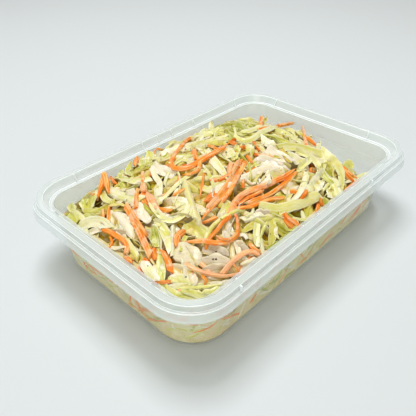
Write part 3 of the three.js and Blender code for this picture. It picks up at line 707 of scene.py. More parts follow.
# Tips of leaf that stand up along the heap's far edge.
TIPS = {
    "left spike": (3.5, 0.7, 0.1, 0, ((119, 186), (120, 178), (121, 170))),
    "left broad": (6, 0.8, 0.1, 0.1, ((120, 188), (127, 182), (134, 176))),
    "left curved": (4, 0.7, 0.1, 0, ((132, 176), (129, 169), (131, 161))),
    "upper fold": (6, 0.9, 0.1, 0.25, ((135, 173), (142, 167), (150, 162))),
    "upper one": (3.5, 0.7, 0.1, 0.1, ((144, 168), (142, 162), (143, 156))),
    "upper two": (4, 0.55, 0.1, 0, ((151, 165), (149, 157), (148, 150))),
    "upper thin": (2.6, 0.35, 0.2, 0, ((164, 153), (168, 147), (173, 142))),
    "cream one": (5, 0.3, 0.3, 0, ((196, 142), (202, 134), (206, 128))),
    "cream two": (4, 0.25, 0.2, 0, ((213, 134), (211, 127), (212, 119))),
    "olive one": (5, 1.0, 0.0, 0.05, ((232, 143), (229, 134), (226, 126))),
    "olive two": (6, 1.0, 0.0, 0, ((247, 134), (240, 129), (233, 124))),
    "top short": (3, 0.5, 0.1, 0, ((247, 130), (252, 125), (257, 125))),
    "top stub": (2.4, 0.7, 0.1, 0, ((263, 124), (265, 120), (266, 116))),
    "far pale": (4, 0.35, 0.1, 0, ((290, 141), (296, 135), (301, 130))),
    "far one": (3, 0.5, 0.1, 0, ((307, 143), (309, 137), (312, 136))),
    "far two": (3, 0.3, 0.1, 0, ((316, 151), (318, 146), (321, 141))),
    "far three": (3, 0.3, 0.1, 0, ((319, 154), (323, 151), (327, 153))),
    "far four": (3.5, 0.3, 0.1, 0, ((329, 161), (333, 157), (336, 160))),
    "far five": (5, 0.7, 0.05, 0, ((340, 168), (347, 165), (354, 168))),
    "far six": (5, 0.7, 0.05, 0.1, ((344, 173), (350, 171), (356, 173))),
    "corner tip": (2.8, 0.5, 0.1, 0, ((72, 213, 1), (70, 208, 1.6), (68, 203, 2.2))),
    "corner thin": (2.0, 0.3, 0.1, 0, ((63, 217, 1), (62, 214, 1.4), (61, 211, 1.8))),
}

LOW_CARROTS = {
    "hollow one": (2.0, 0.1, 0.35, ((253, 141), (256, 146), (259, 151))),
    "hollow two": (3.0, 0.0, 0.5, ((231, 142), (236, 140))),
    "hollow three": (3.2, 0.1, 0.35, ((238, 148), (245, 147))),
    "patch": (3.2, 0.1, 0.3, ((307, 190), (302, 195), (297, 201))),
    "wall deep": (3.0, 0.0, 0.35, ((320, 198), (322, 206))),
    "under loop": (2.4, 0.2, 0.2, ((229, 142), (238, 145))),
    "pink patch": (3.0, 0.9, 0.0, ((231, 161), (230, 168), (229, 176))),
    "thin triangle": (1.9, 0.1, 0.2, ((210, 181), (218, 180), (226, 177), (231, 174))),
    "left strand": (3.0, 0.1, 0.25, ((204, 202), (211, 197), (219, 191))),
    "bits one": (1.6, 0.1, 0.1, ((91, 193), (94, 195))),
    "bits two": (1.6, 0.1, 0.1, ((110, 177), (116, 184))),
    "bits three": (1.6, 0.1, 0.1, ((78, 195), (82, 196))),
    "chunk low": (3.0, 0.3, 0.1, ((153, 249), (155, 260))),
    "chunk left": (3.0, 0.3, 0.1, ((143, 258), (150, 268))),
    "wall sliver": (1.6, 0.0, 0.2, ((269, 249), (276, 250))),
    "wall thin": (1.6, 0.0, 0.1, ((291, 237), (304, 229))),
    "under arc": (2.2, 0.1, 0.3, ((283, 214), (287, 222), (294, 229))),
    "loop inside": (2.2, 0.2, 0.35, ((249, 257), (253, 264))),
}

RIBBONS = {
    "top s": (2.4, 0.5, 0.3, 0, ((223, 128), (217, 133), (215, 141))),
    "top edge": (1.5, 0.4, 0.1, 0, ((234, 127), (236, 134), (237, 139))),
    "top upper": (3.0, 0.3, 0.2, 0, ((243, 133), (250, 131), (256, 129), (262, 127), (270, 128), (278, 127))),
    "top olive": (3.0, 0.9, 0.1, 0.1, ((262, 135), (275, 139), (285, 147))),
    "crest one": (3.4, 0.4, 0.1, 0, ((274, 130), (286, 134), (296, 140), (305, 147))),
    "crest two": (3.0, 0.3, 0.1, 0, ((283, 129, 0.5), (292, 132, 0.5), (300, 139))),
    "crest three": (2.6, 0.7, 0.1, 0, ((272, 137), (282, 141), (292, 145))),
    "far lump": (3.5, 0.2, 0.2, 0, ((323, 151, 0.8), (329, 156, 0.8), (335, 161, 0.8))),
    "far crest": (3.0, 0.6, 0.1, 0, ((296, 131, 0.8), (303, 136, 0.8), (309, 142))),
    "right inner": (3.4, 0.4, 0.2, 0, ((317, 166), (325, 177), (332, 186), (336, 197))),
    "right short": (3.0, 0.4, 0.2, 0, ((297, 170), (303, 165), (311, 158))),
    "right arm": (3.4, 0.3, 0.3, 0, ((296, 151), (306, 155), (315, 162), (318, 168))),
    "right cross": (2.4, 0.7, 0.1, 0, ((322, 171), (326, 178), (334, 183))),
    "right foot": (2.4, 0.2, 0.2, 0, ((342, 184), (350, 181), (359, 177), (368, 173, 1))),
    "low white": (2.8, 0.15, 0.3, 0, (
        (307, 172), (305, 181), (301, 190), (296, 197), (288, 203), (277, 206))),
    "short wall one": (1.8, 0.2, 0.1, 0, ((301, 211), (303, 216), (305, 222))),
    "short wall two": (1.8, 0.4, 0.1, 0, ((307, 212), (311, 217), (312, 222))),
    "wall chunk": (3.0, 0.2, 0.1, 0, ((315, 214), (320, 217))),
    "wall tip": (2.4, 0.15, 0.2, 0, ((305, 224), (314, 219))),
    "star left": (3.4, 0.7, 0.3, 0.2, ((242, 233), (250, 228), (258, 223))),
    "star white": (2.6, 0.2, 0.2, 0, ((257, 223), (256, 234), (256, 246))),
    "star thin": (1.4, 0.6, 0.1, 0, ((267, 222), (262, 232), (260, 238), (259, 246))),
    "star broad": (3.2, 0.6, 0.2, 0.2, ((268, 217), (272, 226), (272, 236), (269, 246))),
    "star upright": (2.0, 0.15, 0.2, 0, ((262, 239), (262, 247), (262, 256))),
    "star crown": (3.4, 0.5, 0.4, 0.15, ((255, 219), (264, 220), (273, 216))),
    "wall lime": (1.8, 0.9, 0.0, 0, ((303, 227), (292, 232), (283, 239), (275, 245), (266, 249))),
    "centre fold": (3.4, 0.15, 0.6, 0, ((243, 221), (250, 219), (258, 216), (264, 216))),
    "centre white": (1.6, 0.1, 0.4, 0, ((229, 231), (233, 234), (238, 235), (244, 235), (247, 239))),
    "centre hook": (1.4, 0.2, 0.3, 0, ((246, 217), (252, 213), (253, 209), (254, 206))),
    "centre thread": (1.0, 0.3, 0.2, 0, ((234, 206), (240, 203), (249, 203))),
    "centre beige": (2.8, 0.5, 0.4, 0, ((230, 202), (224, 211), (218, 221))),
    "heart arc": (3.4, 0.15, 0.8, 0, ((238, 180), (245, 178), (252, 175), (259, 171), (268, 170))),
    "heart thread": (1.4, 0.1, 0.5, 0, ((247, 180), (252, 184), (256, 183))),
    "crossing": (3.4, 0.1, 0.8, 0, ((212, 195), (220, 188), (230, 185), (238, 183))),
    "pale run": (4.0, 0.25, 0.3, 0, ((203, 149), (213, 160), (222, 172), (228, 180))),
    "upper green run": (3.0, 0.4, 0.2, 0, ((239, 145, 0.8), (236, 152), (233, 160))),
    "upper cream": (4.0, 0.2, 0.5, 0, ((155, 157), (168, 153), (181, 147))),
    "upper pale": (3.6, 0.3, 0.3, 0, ((186, 147), (196, 145), (207, 143))),
    "left ridge": (2.2, 0.3, 0.2, 0, ((71, 209, 1), (78, 214, 0.6), (83, 220), (78, 226))),
    "left sprig": (3.0, 0.5, 0.1, 0, ((103, 193), (105, 199), (110, 203))),
    "left cream": (5.0, 0.25, 0.5, 0, ((104, 187), (118, 194), (132, 199), (142, 200))),
    "left upper": (4.6, 0.4, 0.3, 0, ((116, 177), (133, 181), (150, 178))),
    "left thread": (1.8, 0.3, 0.3, 0, ((163, 200), (175, 187), (186, 178), (197, 172), (206, 171))),
    "left white": (3.4, 0.35, 0.4, 0.1, ((186, 183), (189, 196), (193, 209), (198, 221))),
    "left upright": (3.2, 0.3, 0.3, 0, ((157, 184), (158, 195), (158, 206))),
    "left curly": (2.6, 0.85, 0.1, 0, ((143, 203), (148, 210), (155, 213), (165, 221))),
    "left arc": (3.0, 0.2, 0.4, 0, ((154, 222), (165, 223), (175, 218), (186, 210))),
    "left thin white": (1.8, 0.1, 0.3, 0, ((173, 226), (173, 240), (172, 256))),
    "middle down": (4.0, 0.4, 0.4, 0, ((160, 226), (167, 236), (172, 249))),
    "edge lower": (2.4, 0.1, 0.7, 0, ((89, 233), (97, 230), (106, 228))),
    "left wall one": (3.4, 0.3, 0.5, 0, ((80, 226), (90, 240), (103, 252))),
    "left wall two": (3.0, 0.5, 0.3, 0, ((97, 244), (110, 254), (120, 266))),
    "left wall three": (3.6, 0.2, 0.6, 0, ((112, 259), (126, 268), (137, 281))),
    "left wall four": (2.8, 0.4, 0.3, 0, ((131, 272), (143, 283), (157, 291))),
    "edge beige": (3.8, 0.1, 0.8, 0, ((115, 213), (125, 225), (134, 239))),
    "edge point": (3.0, 0.35, 0.3, 0, ((125, 240), (131, 249), (138, 259))),
    "low cream": (3.8, 0.15, 0.6, 0, ((143, 261), (149, 271), (155, 281))),
    "dressed rib one": (2.4, 0.3, 0.9, 0.2, ((231, 245), (233, 252), (234, 262))),
    "dressed rib two": (2.0, 0.4, 0.8, 0.1, ((236, 244), (238, 250), (241, 258))),
    "dressed rib three": (2.6, 0.1, 1.0, 0.1, ((241, 246), (246, 250), (252, 253))),
    "low green": (3.2, 0.75, 0.1, 0, ((160, 250), (161, 267), (163, 285))),
    "low thread": (1.7, 0.7, 0.1, 0, ((186, 236), (183, 243), (180, 251))),
    "long pale": (1.9, 0.5, 0.1, 0, (
        (244, 210, 0.8), (238, 211), (232, 214), (224, 218), (217, 223), (212, 228), (208, 235), (204, 246))),
}

CARROTS = {
    "vee left": (2.1, 0.2, 0, ((97, 199), (101, 187, 3), (104, 173, 7))),
    "vee right": (2.6, 0.2, 0, ((109, 194), (107, 184, 3), (104, 173, 7))),
    "upper stub": (2.5, 0.2, 0, ((137, 157, 1.5), (135, 166))),
    "upper arc": (1.6, 0.6, 0, ((153, 154), (157, 149, 1), (162, 150))),
    "upper left": (1.8, 0.5, 0, ((143, 172), (143, 183))),
    "upper pink": (2.9, 0.9, 0, ((143, 184), (144, 192))),
    "left upright": (2.0, 0.4, 0, ((137, 189), (136, 208))),
    "left broad": (3.3, 0.7, 0, ((146, 192), (151, 200), (156, 210))),
    "left short": (2.1, 0.3, 0, ((103, 210), (102, 222))),
    "left thin": (1.6, 0.3, 0, ((109, 206), (108, 227))),
    "left hook": (2.1, 0.3, 0, ((102, 229), (110, 232), (118, 237), (124, 241), (127, 247), (126, 254))),
    "left curl": (1.1, 0.3, 0, ((110, 236), (112, 243), (107, 250))),
    "thick one": (2.7, 0.4, 0, ((126, 205), (131, 216), (139, 231), (151, 256))),
    "thick two": (1.8, 0.5, 0, ((130, 207), (137, 221), (147, 237))),
    "low left": (2.3, 0.4, 0, ((125, 258), (131, 262), (136, 270), (145, 279), (158, 290))),
    "low taper": (2.5, 0.3, 0, ((160, 249), (166, 257), (169, 265), (170, 272))),
    "loop": (2.5, 0.3, 0, (
        (191, 138), (185, 142), (178, 150), (173, 158), (171, 163), (174, 168), (181, 169), (190, 167),
        (199, 162), (207, 157), (215, 152), (222, 148), (230, 142))),
    "loop under": (2.0, 0.4, 0, ((200, 162), (198, 170), (190, 174), (182, 175))),
    "loop tip": (2.5, 0.3, 0, ((194, 150), (196, 160))),
    "short thin": (1.5, 0.2, 0, ((204, 173), (202, 185), (200, 197))),
    "short low": (1.6, 0.3, 0, ((184, 189), (173, 196))),
    "strand one": (2.5, 0.4, 0, (
        (242, 160), (238, 165), (234, 172), (229, 184), (222, 195), (212, 206), (201, 220))),
    "strand two": (2.1, 0.4, 0, ((246, 161), (242, 169), (237, 177), (232, 187), (225, 198), (216, 210))),
    "strand three": (1.8, 0.6, 0, ((238, 161), (234, 169), (230, 178), (224, 188), (216, 198), (207, 208))),
    "strand end": (1.6, 0.2, 0, ((216, 217), (210, 220), (203, 223))),
    "middle short": (2.1, 0.5, 0, ((254, 154), (263, 156), (273, 158))),
    "middle wedge": (1.8, 0.3, 0, ((247, 156), (252, 163))),
    "chunk": (2.8, 0.3, 0, ((184, 231), (177, 238), (178, 245))),
    "arc three": (1.8, 0.2, 0, ((284, 198), (272, 199), (263, 202), (252, 206), (242, 208), (232, 209))),
    "arc lower": (2.1, 0.3, 0, ((296, 172), (286, 182), (276, 190), (266, 196), (256, 200), (246, 204))),
    "arc upper": (2.6, 0.5, 0, (
        (295, 169), (285, 176), (275, 181), (264, 186), (252, 190), (242, 195), (235, 202), (231, 211),
        (228, 217))),
    "arc thread": (1.5, 0.3, 0, ((262, 191), (254, 195), (246, 199), (239, 205))),
    "turning": (1.6, 0.1, 0.15, ((231, 216), (223, 222), (217, 230), (210, 238), (205, 249))),
    "ring": (2.0, 0.4, 0, (
        (234, 214), (237, 218), (238, 225), (238, 232), (236, 236), (232, 239), (227, 242), (221, 243),
        (214, 243), (205, 241), (195, 241), (182, 242))),
    "ring inner": (1.4, 0.6, 0, ((216, 235), (221, 239), (225, 240), (231, 239))),
    "near arc": (2.1, 0.4, 0, ((285, 211), (287, 217), (294, 222), (300, 226), (305, 226))),
    "near stick": (1.5, 0.1, 0, ((318, 198), (318, 206), (315, 214))),
    "near short": (2.0, 0.3, 0, ((249, 244), (255, 250), (260, 253))),
    "bow foot": (1.8, 0.7, 0, (
        (186, 264), (193, 268), (205, 273), (215, 275), (226, 276), (238, 274), (246, 272))),
    "bow inner": (1.6, 0.7, 0, ((254, 254), (258, 261), (256, 267))),
    "bow": (2.0, 0.6, 0, (
        (222, 274), (230, 264), (238, 257), (247, 252), (254, 252), (260, 256), (262, 261), (257, 266),
        (249, 271), (241, 276))),
    "bow thread": (1.0, 0.4, 0, ((234, 264), (236, 268), (240, 272))),
    "corner curl": (1.3, 0.3, 0, ((201, 275), (206, 281), (203, 286))),
    "far stick": (2.6, 0.1, 0, ((278, 126, 2), (293, 123, 3))),
    "far stub": (2.6, 0.3, 0, ((262, 116, 4), (261, 124, 1.5))),
    "far lying": (2.1, 0.2, 0, ((258, 130), (270, 127))),
    "far spike": (1.8, 0.6, 0, ((302, 124, 6), (304, 134, 3), (307, 147))),
    "far short": (2.1, 0.1, 0, ((307, 137, 1.5), (311, 141, 1), (316, 146))),
    "right one": (2.3, 0.1, 0, ((336, 166), (342, 171), (347, 176), (353, 182))),
    "right two": (1.8, 0.2, 0, ((341, 166, 0.8), (348, 172, 0.8), (356, 178))),
    "right foot": (2.5, 0.1, 0, ((345, 192), (352, 186), (363, 180))),
}

TOP_RIBBONS = {
    "top broad": (4.6, 0.1, 0.4, 0, ((261, 139, 0.4), (268, 143, 0.4), (277, 145, 0.4))),
    "top cream": (3.0, 0.3, 0.1, 0, (
        (234, 136, 0.8), (240, 140, 0.8), (247, 141, 0.8), (254, 138, 0.8), (262, 132, 0.8), (270, 129, 0.8),
        (279, 126, 0.8))),
    "edge roll": (4.6, 0.15, 0.3, 0, (
        (80, 229, 0.6), (86, 224, 0.8), (94, 222, 0.8), (102, 223, 0.6), (108, 228))),
    "upper roll": (4.6, 0.1, 0.5, 0, ((124, 196, 0.4), (130, 195, 0.6), (136, 193, 0.4))),
    "long arc": (4.4, 0.38, 0.2, 0.1, (
        (279, 148, 0.6), (292, 147, 0.8), (304, 149, 0.8), (315, 152, 0.8), (325, 155, 0.8), (333, 161, 0.8),
        (339, 169, 0.8), (342, 178, 0.8), (342, 187, 0.6), (341, 196))),
    "low ribbon": (4.6, 0.35, 0.15, 0.1, (
        (259, 205), (268, 208, 0.5), (279, 209, 0.8), (291, 206, 0.8), (303, 202, 0.6), (319, 195))),
    "over strand": (2.8, 0.1, 0.7, 0, ((213, 193), (222, 187), (231, 184), (239, 183))),
    "over arc": (5.2, 0.0, 0.85, 0, ((264, 176, 0.4), (265, 182, 0.4), (265, 188))),
    "over turning": (1.9, 0.45, 0.1, 0, ((243, 210, 1.2), (237, 211, 0.8), (229, 215), (222, 219))),
    "middle curve": (2.6, 0.3, 0.3, 0, (
        (151, 203, 0.6), (157, 212, 0.8), (165, 219, 0.8), (174, 220, 0.8), (183, 215, 0.8),
        (190, 207, 0.6))),
    "upper fall": (2.4, 0.15, 0.5, 0, ((152, 167, 0.6), (155, 176, 0.8), (160, 184, 0.8), (159, 196, 0.4))),
    "corner strip": (1.9, 0.35, 0.0, 0, ((171, 289, 0.9), (188, 288, 0.9), (206, 287, 0.9), (227, 284, 0.9))),
    "corner low one": (2.6, 0.4, 0.0, 0, ((166, 288, 0.9), (174, 293, 0.9), (184, 297, 0.7))),
    "corner low two": (2.4, 0.45, 0.0, 0, ((186, 291, 0.9), (195, 294, 0.9), (205, 297, 0.7))),
    "corner low three": (2.2, 0.4, 0.0, 0, ((203, 292, 0.9), (212, 292, 0.9), (220, 287, 0.7))),
}

PEPPERS = (
    (104, 244, 1.0), (205, 226, 0.8), (213, 259, 1.4), (216, 259, 1.2), (173, 217, 0.8), (186, 277, 0.8),
    (148, 266, 0.8), (226, 152, 1.0), (256, 183, 1.3), (216, 252, 1.1), (306, 171, 1.2), (321, 179, 1.2),
    (240, 264, 0.8), (270, 234, 0.9), (297, 240, 0.9), (248, 233, 0.9), (131, 247, 0.9), (279, 168, 1.0),
)


RIBBON_STEP, LEAF_STEP = 1.1, 0.7    # distances between the stations of listed pieces
SETTLINGS = 3                    # times that a piece is draped and seen again
PLACED_SINK = 0.5                # how far it presses into what it lies on
SINKS, RISES = 1.4, 1.0          # how far it may stand under and over where it is seen
PLACED_MARGIN = 0.2
FEWEST_STATIONS = 5


def lay_hand_placed(batch, pixels, width, thickness, radius, look, shape, step=RIBBON_STEP):
    """Lays a piece over the heap so that it is seen at its pixels."""
    lifts = lifts_seen(pixels)
    corners = np.array([on_heap(pixel[:2], lift) for pixel, lift in zip(pixels, lifts)])
    path = smooth_curve(np.column_stack([corners, lifts]), step)
    lift, path = path[:, 3] + wobble(len(path), 2, 0.3), path[:, :3]
    seen = to_pixels(path)
    for _ in range(SETTLINGS):
        surface = heap_height(path[:, 0], path[:, 1]) + lift
        rest = resting_heights(path, width) + thickness / 2 - PLACED_SINK
        rest = np.clip(rest, surface - SINKS, surface + RISES)
        path = at_heights(seen, drape(rest, step, radius))
    kept = inside_wall(path[:, 0], path[:, 1], PLACED_MARGIN)
    if kept.sum() >= FEWEST_STATIONS:
        first, last = np.flatnonzero(kept)[[0, -1]]
        add_strip(batch, path[first:last + 1], width, thickness, look, shape)


ROUTES_TRIED, ROUTE_POINTS = 40, 9
GAP_HEIGHT = 30                  # how much higher the heap counts in a gap that stays open
FEWEST_INSIDE = 6                # points of a route that have to be inside the wall
WORST = 50                       # the highest score that a route may have
LOOSE_STEP = 1.25                # distance between the stations of a loose piece
LOOSE_BEND = 1.6                 # how far it turns from end to end, at random, in radians
LOOSE_MARGIN = 0.2               # how far inside the wall its middle stays, as a share of its width
LOOSE_WOBBLE = 0.7
LOOSE_SINK = 0.4                 # how far it presses into what it lies on
BY_WALL = 5                      # how wide the band along the wall is
DEPTH_MIDDLE, DEPTH_BY_WALL = 1.2, 0.4    # how far under the heap's surface it stays
DARK_START, DARK_SPAN = 1.4, 8.0      # how deep its shade begins, and over what depth it grows
LOOK_SPREAD = 0.2                # how far tint and dressing differ from those of the area, at random


def loose_routes(count, length, bend):
    """Plan arcs through random places, as an array of routes, stations and x, y."""
    heading = random.uniform(0, FULL_TURN, count)
    turn = heading[:, None] + bend * np.linspace(-0.5, 0.5, ROUTE_POINTS)
    step = length / (ROUTE_POINTS - 1)
    x = random.uniform(-REACH_X, REACH_X, count)[:, None] + np.cumsum(np.cos(turn) * step, axis=1)
    y = random.uniform(-REACH_Y, REACH_Y, count)[:, None] + np.cumsum(np.sin(turn) * step, axis=1)
    return np.stack([x, y], axis=-1)


def emptiest_route(length, bend, width):
    """Of many loose routes, the one over the lowest part of the heap, or none if all lie outside."""
    routes = loose_routes(ROUTES_TRIED, length, bend)
    x, y = routes[..., 0], routes[..., 1]
    place = cells(x, y)
    inside = inside_wall(x, y, width * LOOSE_MARGIN)
    depth = field[place] - HEAP[place] + GAP_HEIGHT * cavity[place]
    score = (depth * inside).sum(axis=1) / np.maximum(inside.sum(axis=1), 1)
    score += NOWHERE * (inside.sum(axis=1) < FEWEST_INSIDE) + NOWHERE * ~inside[:, ROUTE_POINTS // 2]
    return routes[score.argmin()] if score.min() < WORST else None


def kept_inside(path, margin):
    """The part of a path about its middle that is inside the wall."""
    inside = inside_wall(path[:, 0], path[:, 1], margin)
    first = last = len(path) // 2
    while first > 0 and inside[first - 1]:
        first -= 1
    while last < len(path) - 1 and inside[last + 1]:
        last += 1
    return path[first:last + 1]


def curl_up(stations):
    """How far a loose piece's ends rise: one by a random amount, the other slightly."""
    share = np.linspace(0, 1, stations)
    return np.clip(share - 0.55, 0, 1) ** 2 * random.uniform(-2, 8) + np.clip(0.4 - share, 0, 1) ** 2 * 5


def loose_look(middle):
    """Tint, dressing and shade for a loose piece whose middle is here."""
    tint, sauce = area_look(middle)
    sunk = HEAP[cells(middle[:1], middle[1:2])] - middle[2]
    shade = float(np.clip((sunk - DARK_START) / DARK_SPAN, 0, 1)[0])
    tint = float(np.clip(tint + random.normal(0, LOOK_SPREAD), 0, 1))
    return tint, float(np.clip(sauce + random.normal(0, LOOK_SPREAD), 0, 1)), shade


def lay_loose(batch, length, width, thickness, radius, look, shape):
    """Lays a loose piece in the emptiest place, kept just under the heap's surface."""
    route = emptiest_route(length, random.normal(0, LOOSE_BEND), width)
    if route is None:
        return
    plan = kept_inside(smooth_curve(route, LOOSE_STEP), width * LOOSE_MARGIN)
    stations = len(plan)
    if stations <= FEWEST_STATIONS:
        return
    plan = plan + np.column_stack([wobble(stations, 2, LOOSE_WOBBLE), wobble(stations, 2, LOOSE_WOBBLE)])
    path = at_level(plan, 0.0)
    rest = resting_heights(path, width) + thickness / 2 - LOOSE_SINK
    under = np.where(inside_wall(path[:, 0], path[:, 1], BY_WALL), DEPTH_MIDDLE, DEPTH_BY_WALL)
    highest = heap_height(path[:, 0], path[:, 1]) - under
    curl = curl_up(stations)
    path[:, 2] = np.minimum(drape(rest, LOOSE_STEP, radius), highest) + curl + wobble(stations, 1.5, 0.35)
    add_strip(batch, path, width, thickness, look(*loose_look(path[stations // 2])), shape)


# ---- Materials ----

def linear(red, green, blue):
    """A colour given in 0 to 255, as linear light."""
    values = []
    for value in (red, green, blue):
        share = value / 255
        values.append(share / 12.92 if share < 0.04045 else ((share + 0.055) / 1.055) ** 2.4)
    return (*values, 1)


class Nodes:
    """The node tree of a material or world, with short calls for the nodes used here."""

    def __init__(self, owner, shader="Principled BSDF"):
        self.owner = owner
        owner.use_nodes = True
        self.tree = owner.node_tree
        self.shader = self.tree.nodes[shader]

    def feed(self, value, socket):
        """Links a socket to another's output, or sets its value."""
        if isinstance(value, bpy.types.NodeSocket):
            self.tree.links.new(value, socket)
        else:
            socket.default_value = value

    def new(self, kind, inputs, **settings):
        """A node with these settings and inputs, each input by its name or number."""
        node = self.tree.nodes.new(kind)
        for key, value in settings.items():
            setattr(node, key, value)
        for key, value in inputs.items():
            self.feed(value, node.inputs[key])
        return node

    def attribute(self, name):
        return self.new("ShaderNodeAttribute", {}, attribute_name=name).outputs["Vector"]

    def split(self, vector):
        return self.new("ShaderNodeSeparateXYZ", {0: vector}).outputs

    def scaled(self, vector, scale):
        return self.new("ShaderNodeMapping", {"Vector": vector, "Scale": scale}).outputs[0]

    def noise(self, vector, scale, detail=2.0):
        inputs = {"Vector": vector, "Scale": scale, "Detail": detail}
        return self.new("ShaderNodeTexNoise", inputs).outputs["Fac"]

    def place(self):
        return self.new("ShaderNodeTexCoord", {}).outputs["Object"]

    def math(self, operation, *values, clamp=False):
        inputs = dict(enumerate(values))
        return self.new("ShaderNodeMath", inputs, operation=operation, use_clamp=clamp).outputs[0]

    def span(self, value, low, high, to_low=0.0, to_high=1.0, kind="SMOOTHSTEP"):
        inputs = {"Value": value, "From Min": low, "From Max": high, "To Min": to_low, "To Max": to_high}
        return self.new("ShaderNodeMapRange", inputs, interpolation_type=kind).outputs["Result"]

    def ramp(self, value, stops):
        node = self.new("ShaderNodeValToRGB", {0: value})
        while len(node.color_ramp.elements) < len(stops):
            node.color_ramp.elements.new(0.5)
        for element, (place, colour) in zip(node.color_ramp.elements, stops):
            element.position = place
            element.color = colour
        return node.outputs["Color"]

    def mix(self, share, a, b, kind="MIX"):
        inputs = {0: share, 6: a, 7: b}
        return self.new("ShaderNodeMix", inputs, data_type="RGBA", blend_type=kind).outputs[2]

    def blend(self, share, a, b):
        return self.new("ShaderNodeMixShader", {0: share, 1: a, 2: b}).outputs[0]

    def bump(self, height, distance, strength=1.0):
        inputs = {"Height": height, "Distance": distance, "Strength": strength}
        self.set(Normal=self.new("ShaderNodeBump", inputs).outputs[0])

    def set(self, **values):
        for name, value in values.items():
            self.feed(value, self.shader.inputs[name.replace("_", " ")])


HEAD_ON_MILK, ASLANT_MILK = 0.04, 0.5    # how opaque the plastic is, seen head on and along its face
BEND_MILK, RIM_MILK = 0.6, 0.3           # and how much more at its bends and in its rim
DRESSING = linear(246, 234, 212)
STAINED = linear(201, 182, 163)          # dressing tinted by carrot, on the wettest pieces
DRESSING_SHADE = linear(222, 204, 155)
# Painted shade: the brown that parts lying under other pieces are multiplied by.
PAINTED_GAP_SHADE = linear(206, 172, 10)
PAINTED_SHADE_WARMTH = linear(253, 246, 178)         # painted shade: what the blue of slightly sunk pieces is dimmed by
EDGE_PALE_AND_LIT = linear(248, 244, 212)


def sauce_mask(nodes, sauce, size):
    """Where the dressing clings: patches that grow with the piece's share of it."""
    patches = nodes.noise(nodes.place(), size, 3)
    need = nodes.math("SUBTRACT", 1.0, sauce)
    level = nodes.math("MULTIPLY_ADD", need, 0.55, 0.22)
    return nodes.span(nodes.math("SUBTRACT", patches, level), -0.06, 0.10)


def cabbage_material():
    """Cabbage from white rib to green leaf, veined along its length, with dressing on it; painted shade where
    it is sunk.
    """
    nodes = Nodes(bpy.data.materials.new("cabbage"))
    tint, sauce, depth = nodes.split(nodes.attribute("piece"))
    grain = nodes.attribute("grain")
    veins = nodes.noise(nodes.scaled(grain, (0.12, 1.5, 1)), 1.0, 3)
    bands = nodes.noise(nodes.scaled(grain, (0.05, 0.55, 0.4)), 1.0, 2)
    blotch = nodes.noise(nodes.place(), 180, 2)
    level = nodes.math("ADD", tint, nodes.math("MULTIPLY", nodes.math("SUBTRACT", blotch, 0.5), 0.5))
    banded = nodes.math("MULTIPLY", nodes.math("SUBTRACT", bands, 0.5), 1.0)
    level = nodes.math("ADD", level, banded, clamp=True)
    colour = nodes.ramp(level, (
        (0.0, linear(243, 238, 214)),
        (0.3, linear(231, 227, 154)),
        (0.55, linear(218, 214, 100)),
        (0.85, linear(192, 192, 50)),
        (1.0, linear(164, 168, 26)),
    ))
    colour = nodes.mix(nodes.span(veins, 0.42, 0.68, 0, 0.4), colour, linear(240, 238, 204))
    mask = sauce_mask(nodes, sauce, 260)
    dressing = nodes.mix(nodes.span(sauce, 0.88, 1.0), DRESSING, STAINED)
    colour = nodes.mix(nodes.math("MULTIPLY", mask, 0.8), colour, dressing)
    # Paler edges: partly the rib's own colour, partly a painted highlight where the edges catch the light.
    _, _, across = nodes.split(grain)
    edge = nodes.span(nodes.math("ABSOLUTE", across), 0.6, 1.0, 0, nodes.span(tint, 0.5, 1.0, 0.65, 0.3))
    colour = nodes.mix(edge, colour, EDGE_PALE_AND_LIT)
    # Painted shade: parts lying under other pieces are first warmed, then darkened to brown.
    colour = nodes.mix(nodes.span(depth, 0.08, 0.45), colour, PAINTED_SHADE_WARMTH, "MULTIPLY")
    colour = nodes.mix(depth, colour, PAINTED_GAP_SHADE, "MULTIPLY")
    wrinkles = nodes.noise(nodes.scaled(grain, (0.35, 0.9, 1)), 1.0, 2)
    folds = nodes.math("ABSOLUTE", nodes.math("SUBTRACT", nodes.noise(nodes.place(), 260, 1), 0.5))
    creases = nodes.span(folds, 0.0, 0.07)
    height = nodes.math("ADD", nodes.math("MULTIPLY", veins, 0.3), nodes.math("MULTIPLY", wrinkles, 1.2))
    height = nodes.math("ADD", height, nodes.math("MULTIPLY", creases, 0.15))
    nodes.bump(nodes.math("ADD", height, nodes.math("MULTIPLY", mask, 0.5)), 0.0006, 0.52)
    nodes.set(Base_Color=colour, Roughness=nodes.span(mask, 0, 1, 0.4, 0.28))
    # Painted shade on the gloss: specular and coat fade where the piece lies sunk.
    nodes.set(Specular_IOR_Level=nodes.span(depth, 0, 0.8, 0.25, 0.05))
    nodes.set(Coat_Weight=nodes.span(depth, 0, 0.6, 0.32, 0), Coat_Roughness=0.14)
    nodes.set(Subsurface_Weight=0.4, Subsurface_Scale=0.0007, Subsurface_Radius=(1.0, 0.9, 0.6))
    return nodes.owner


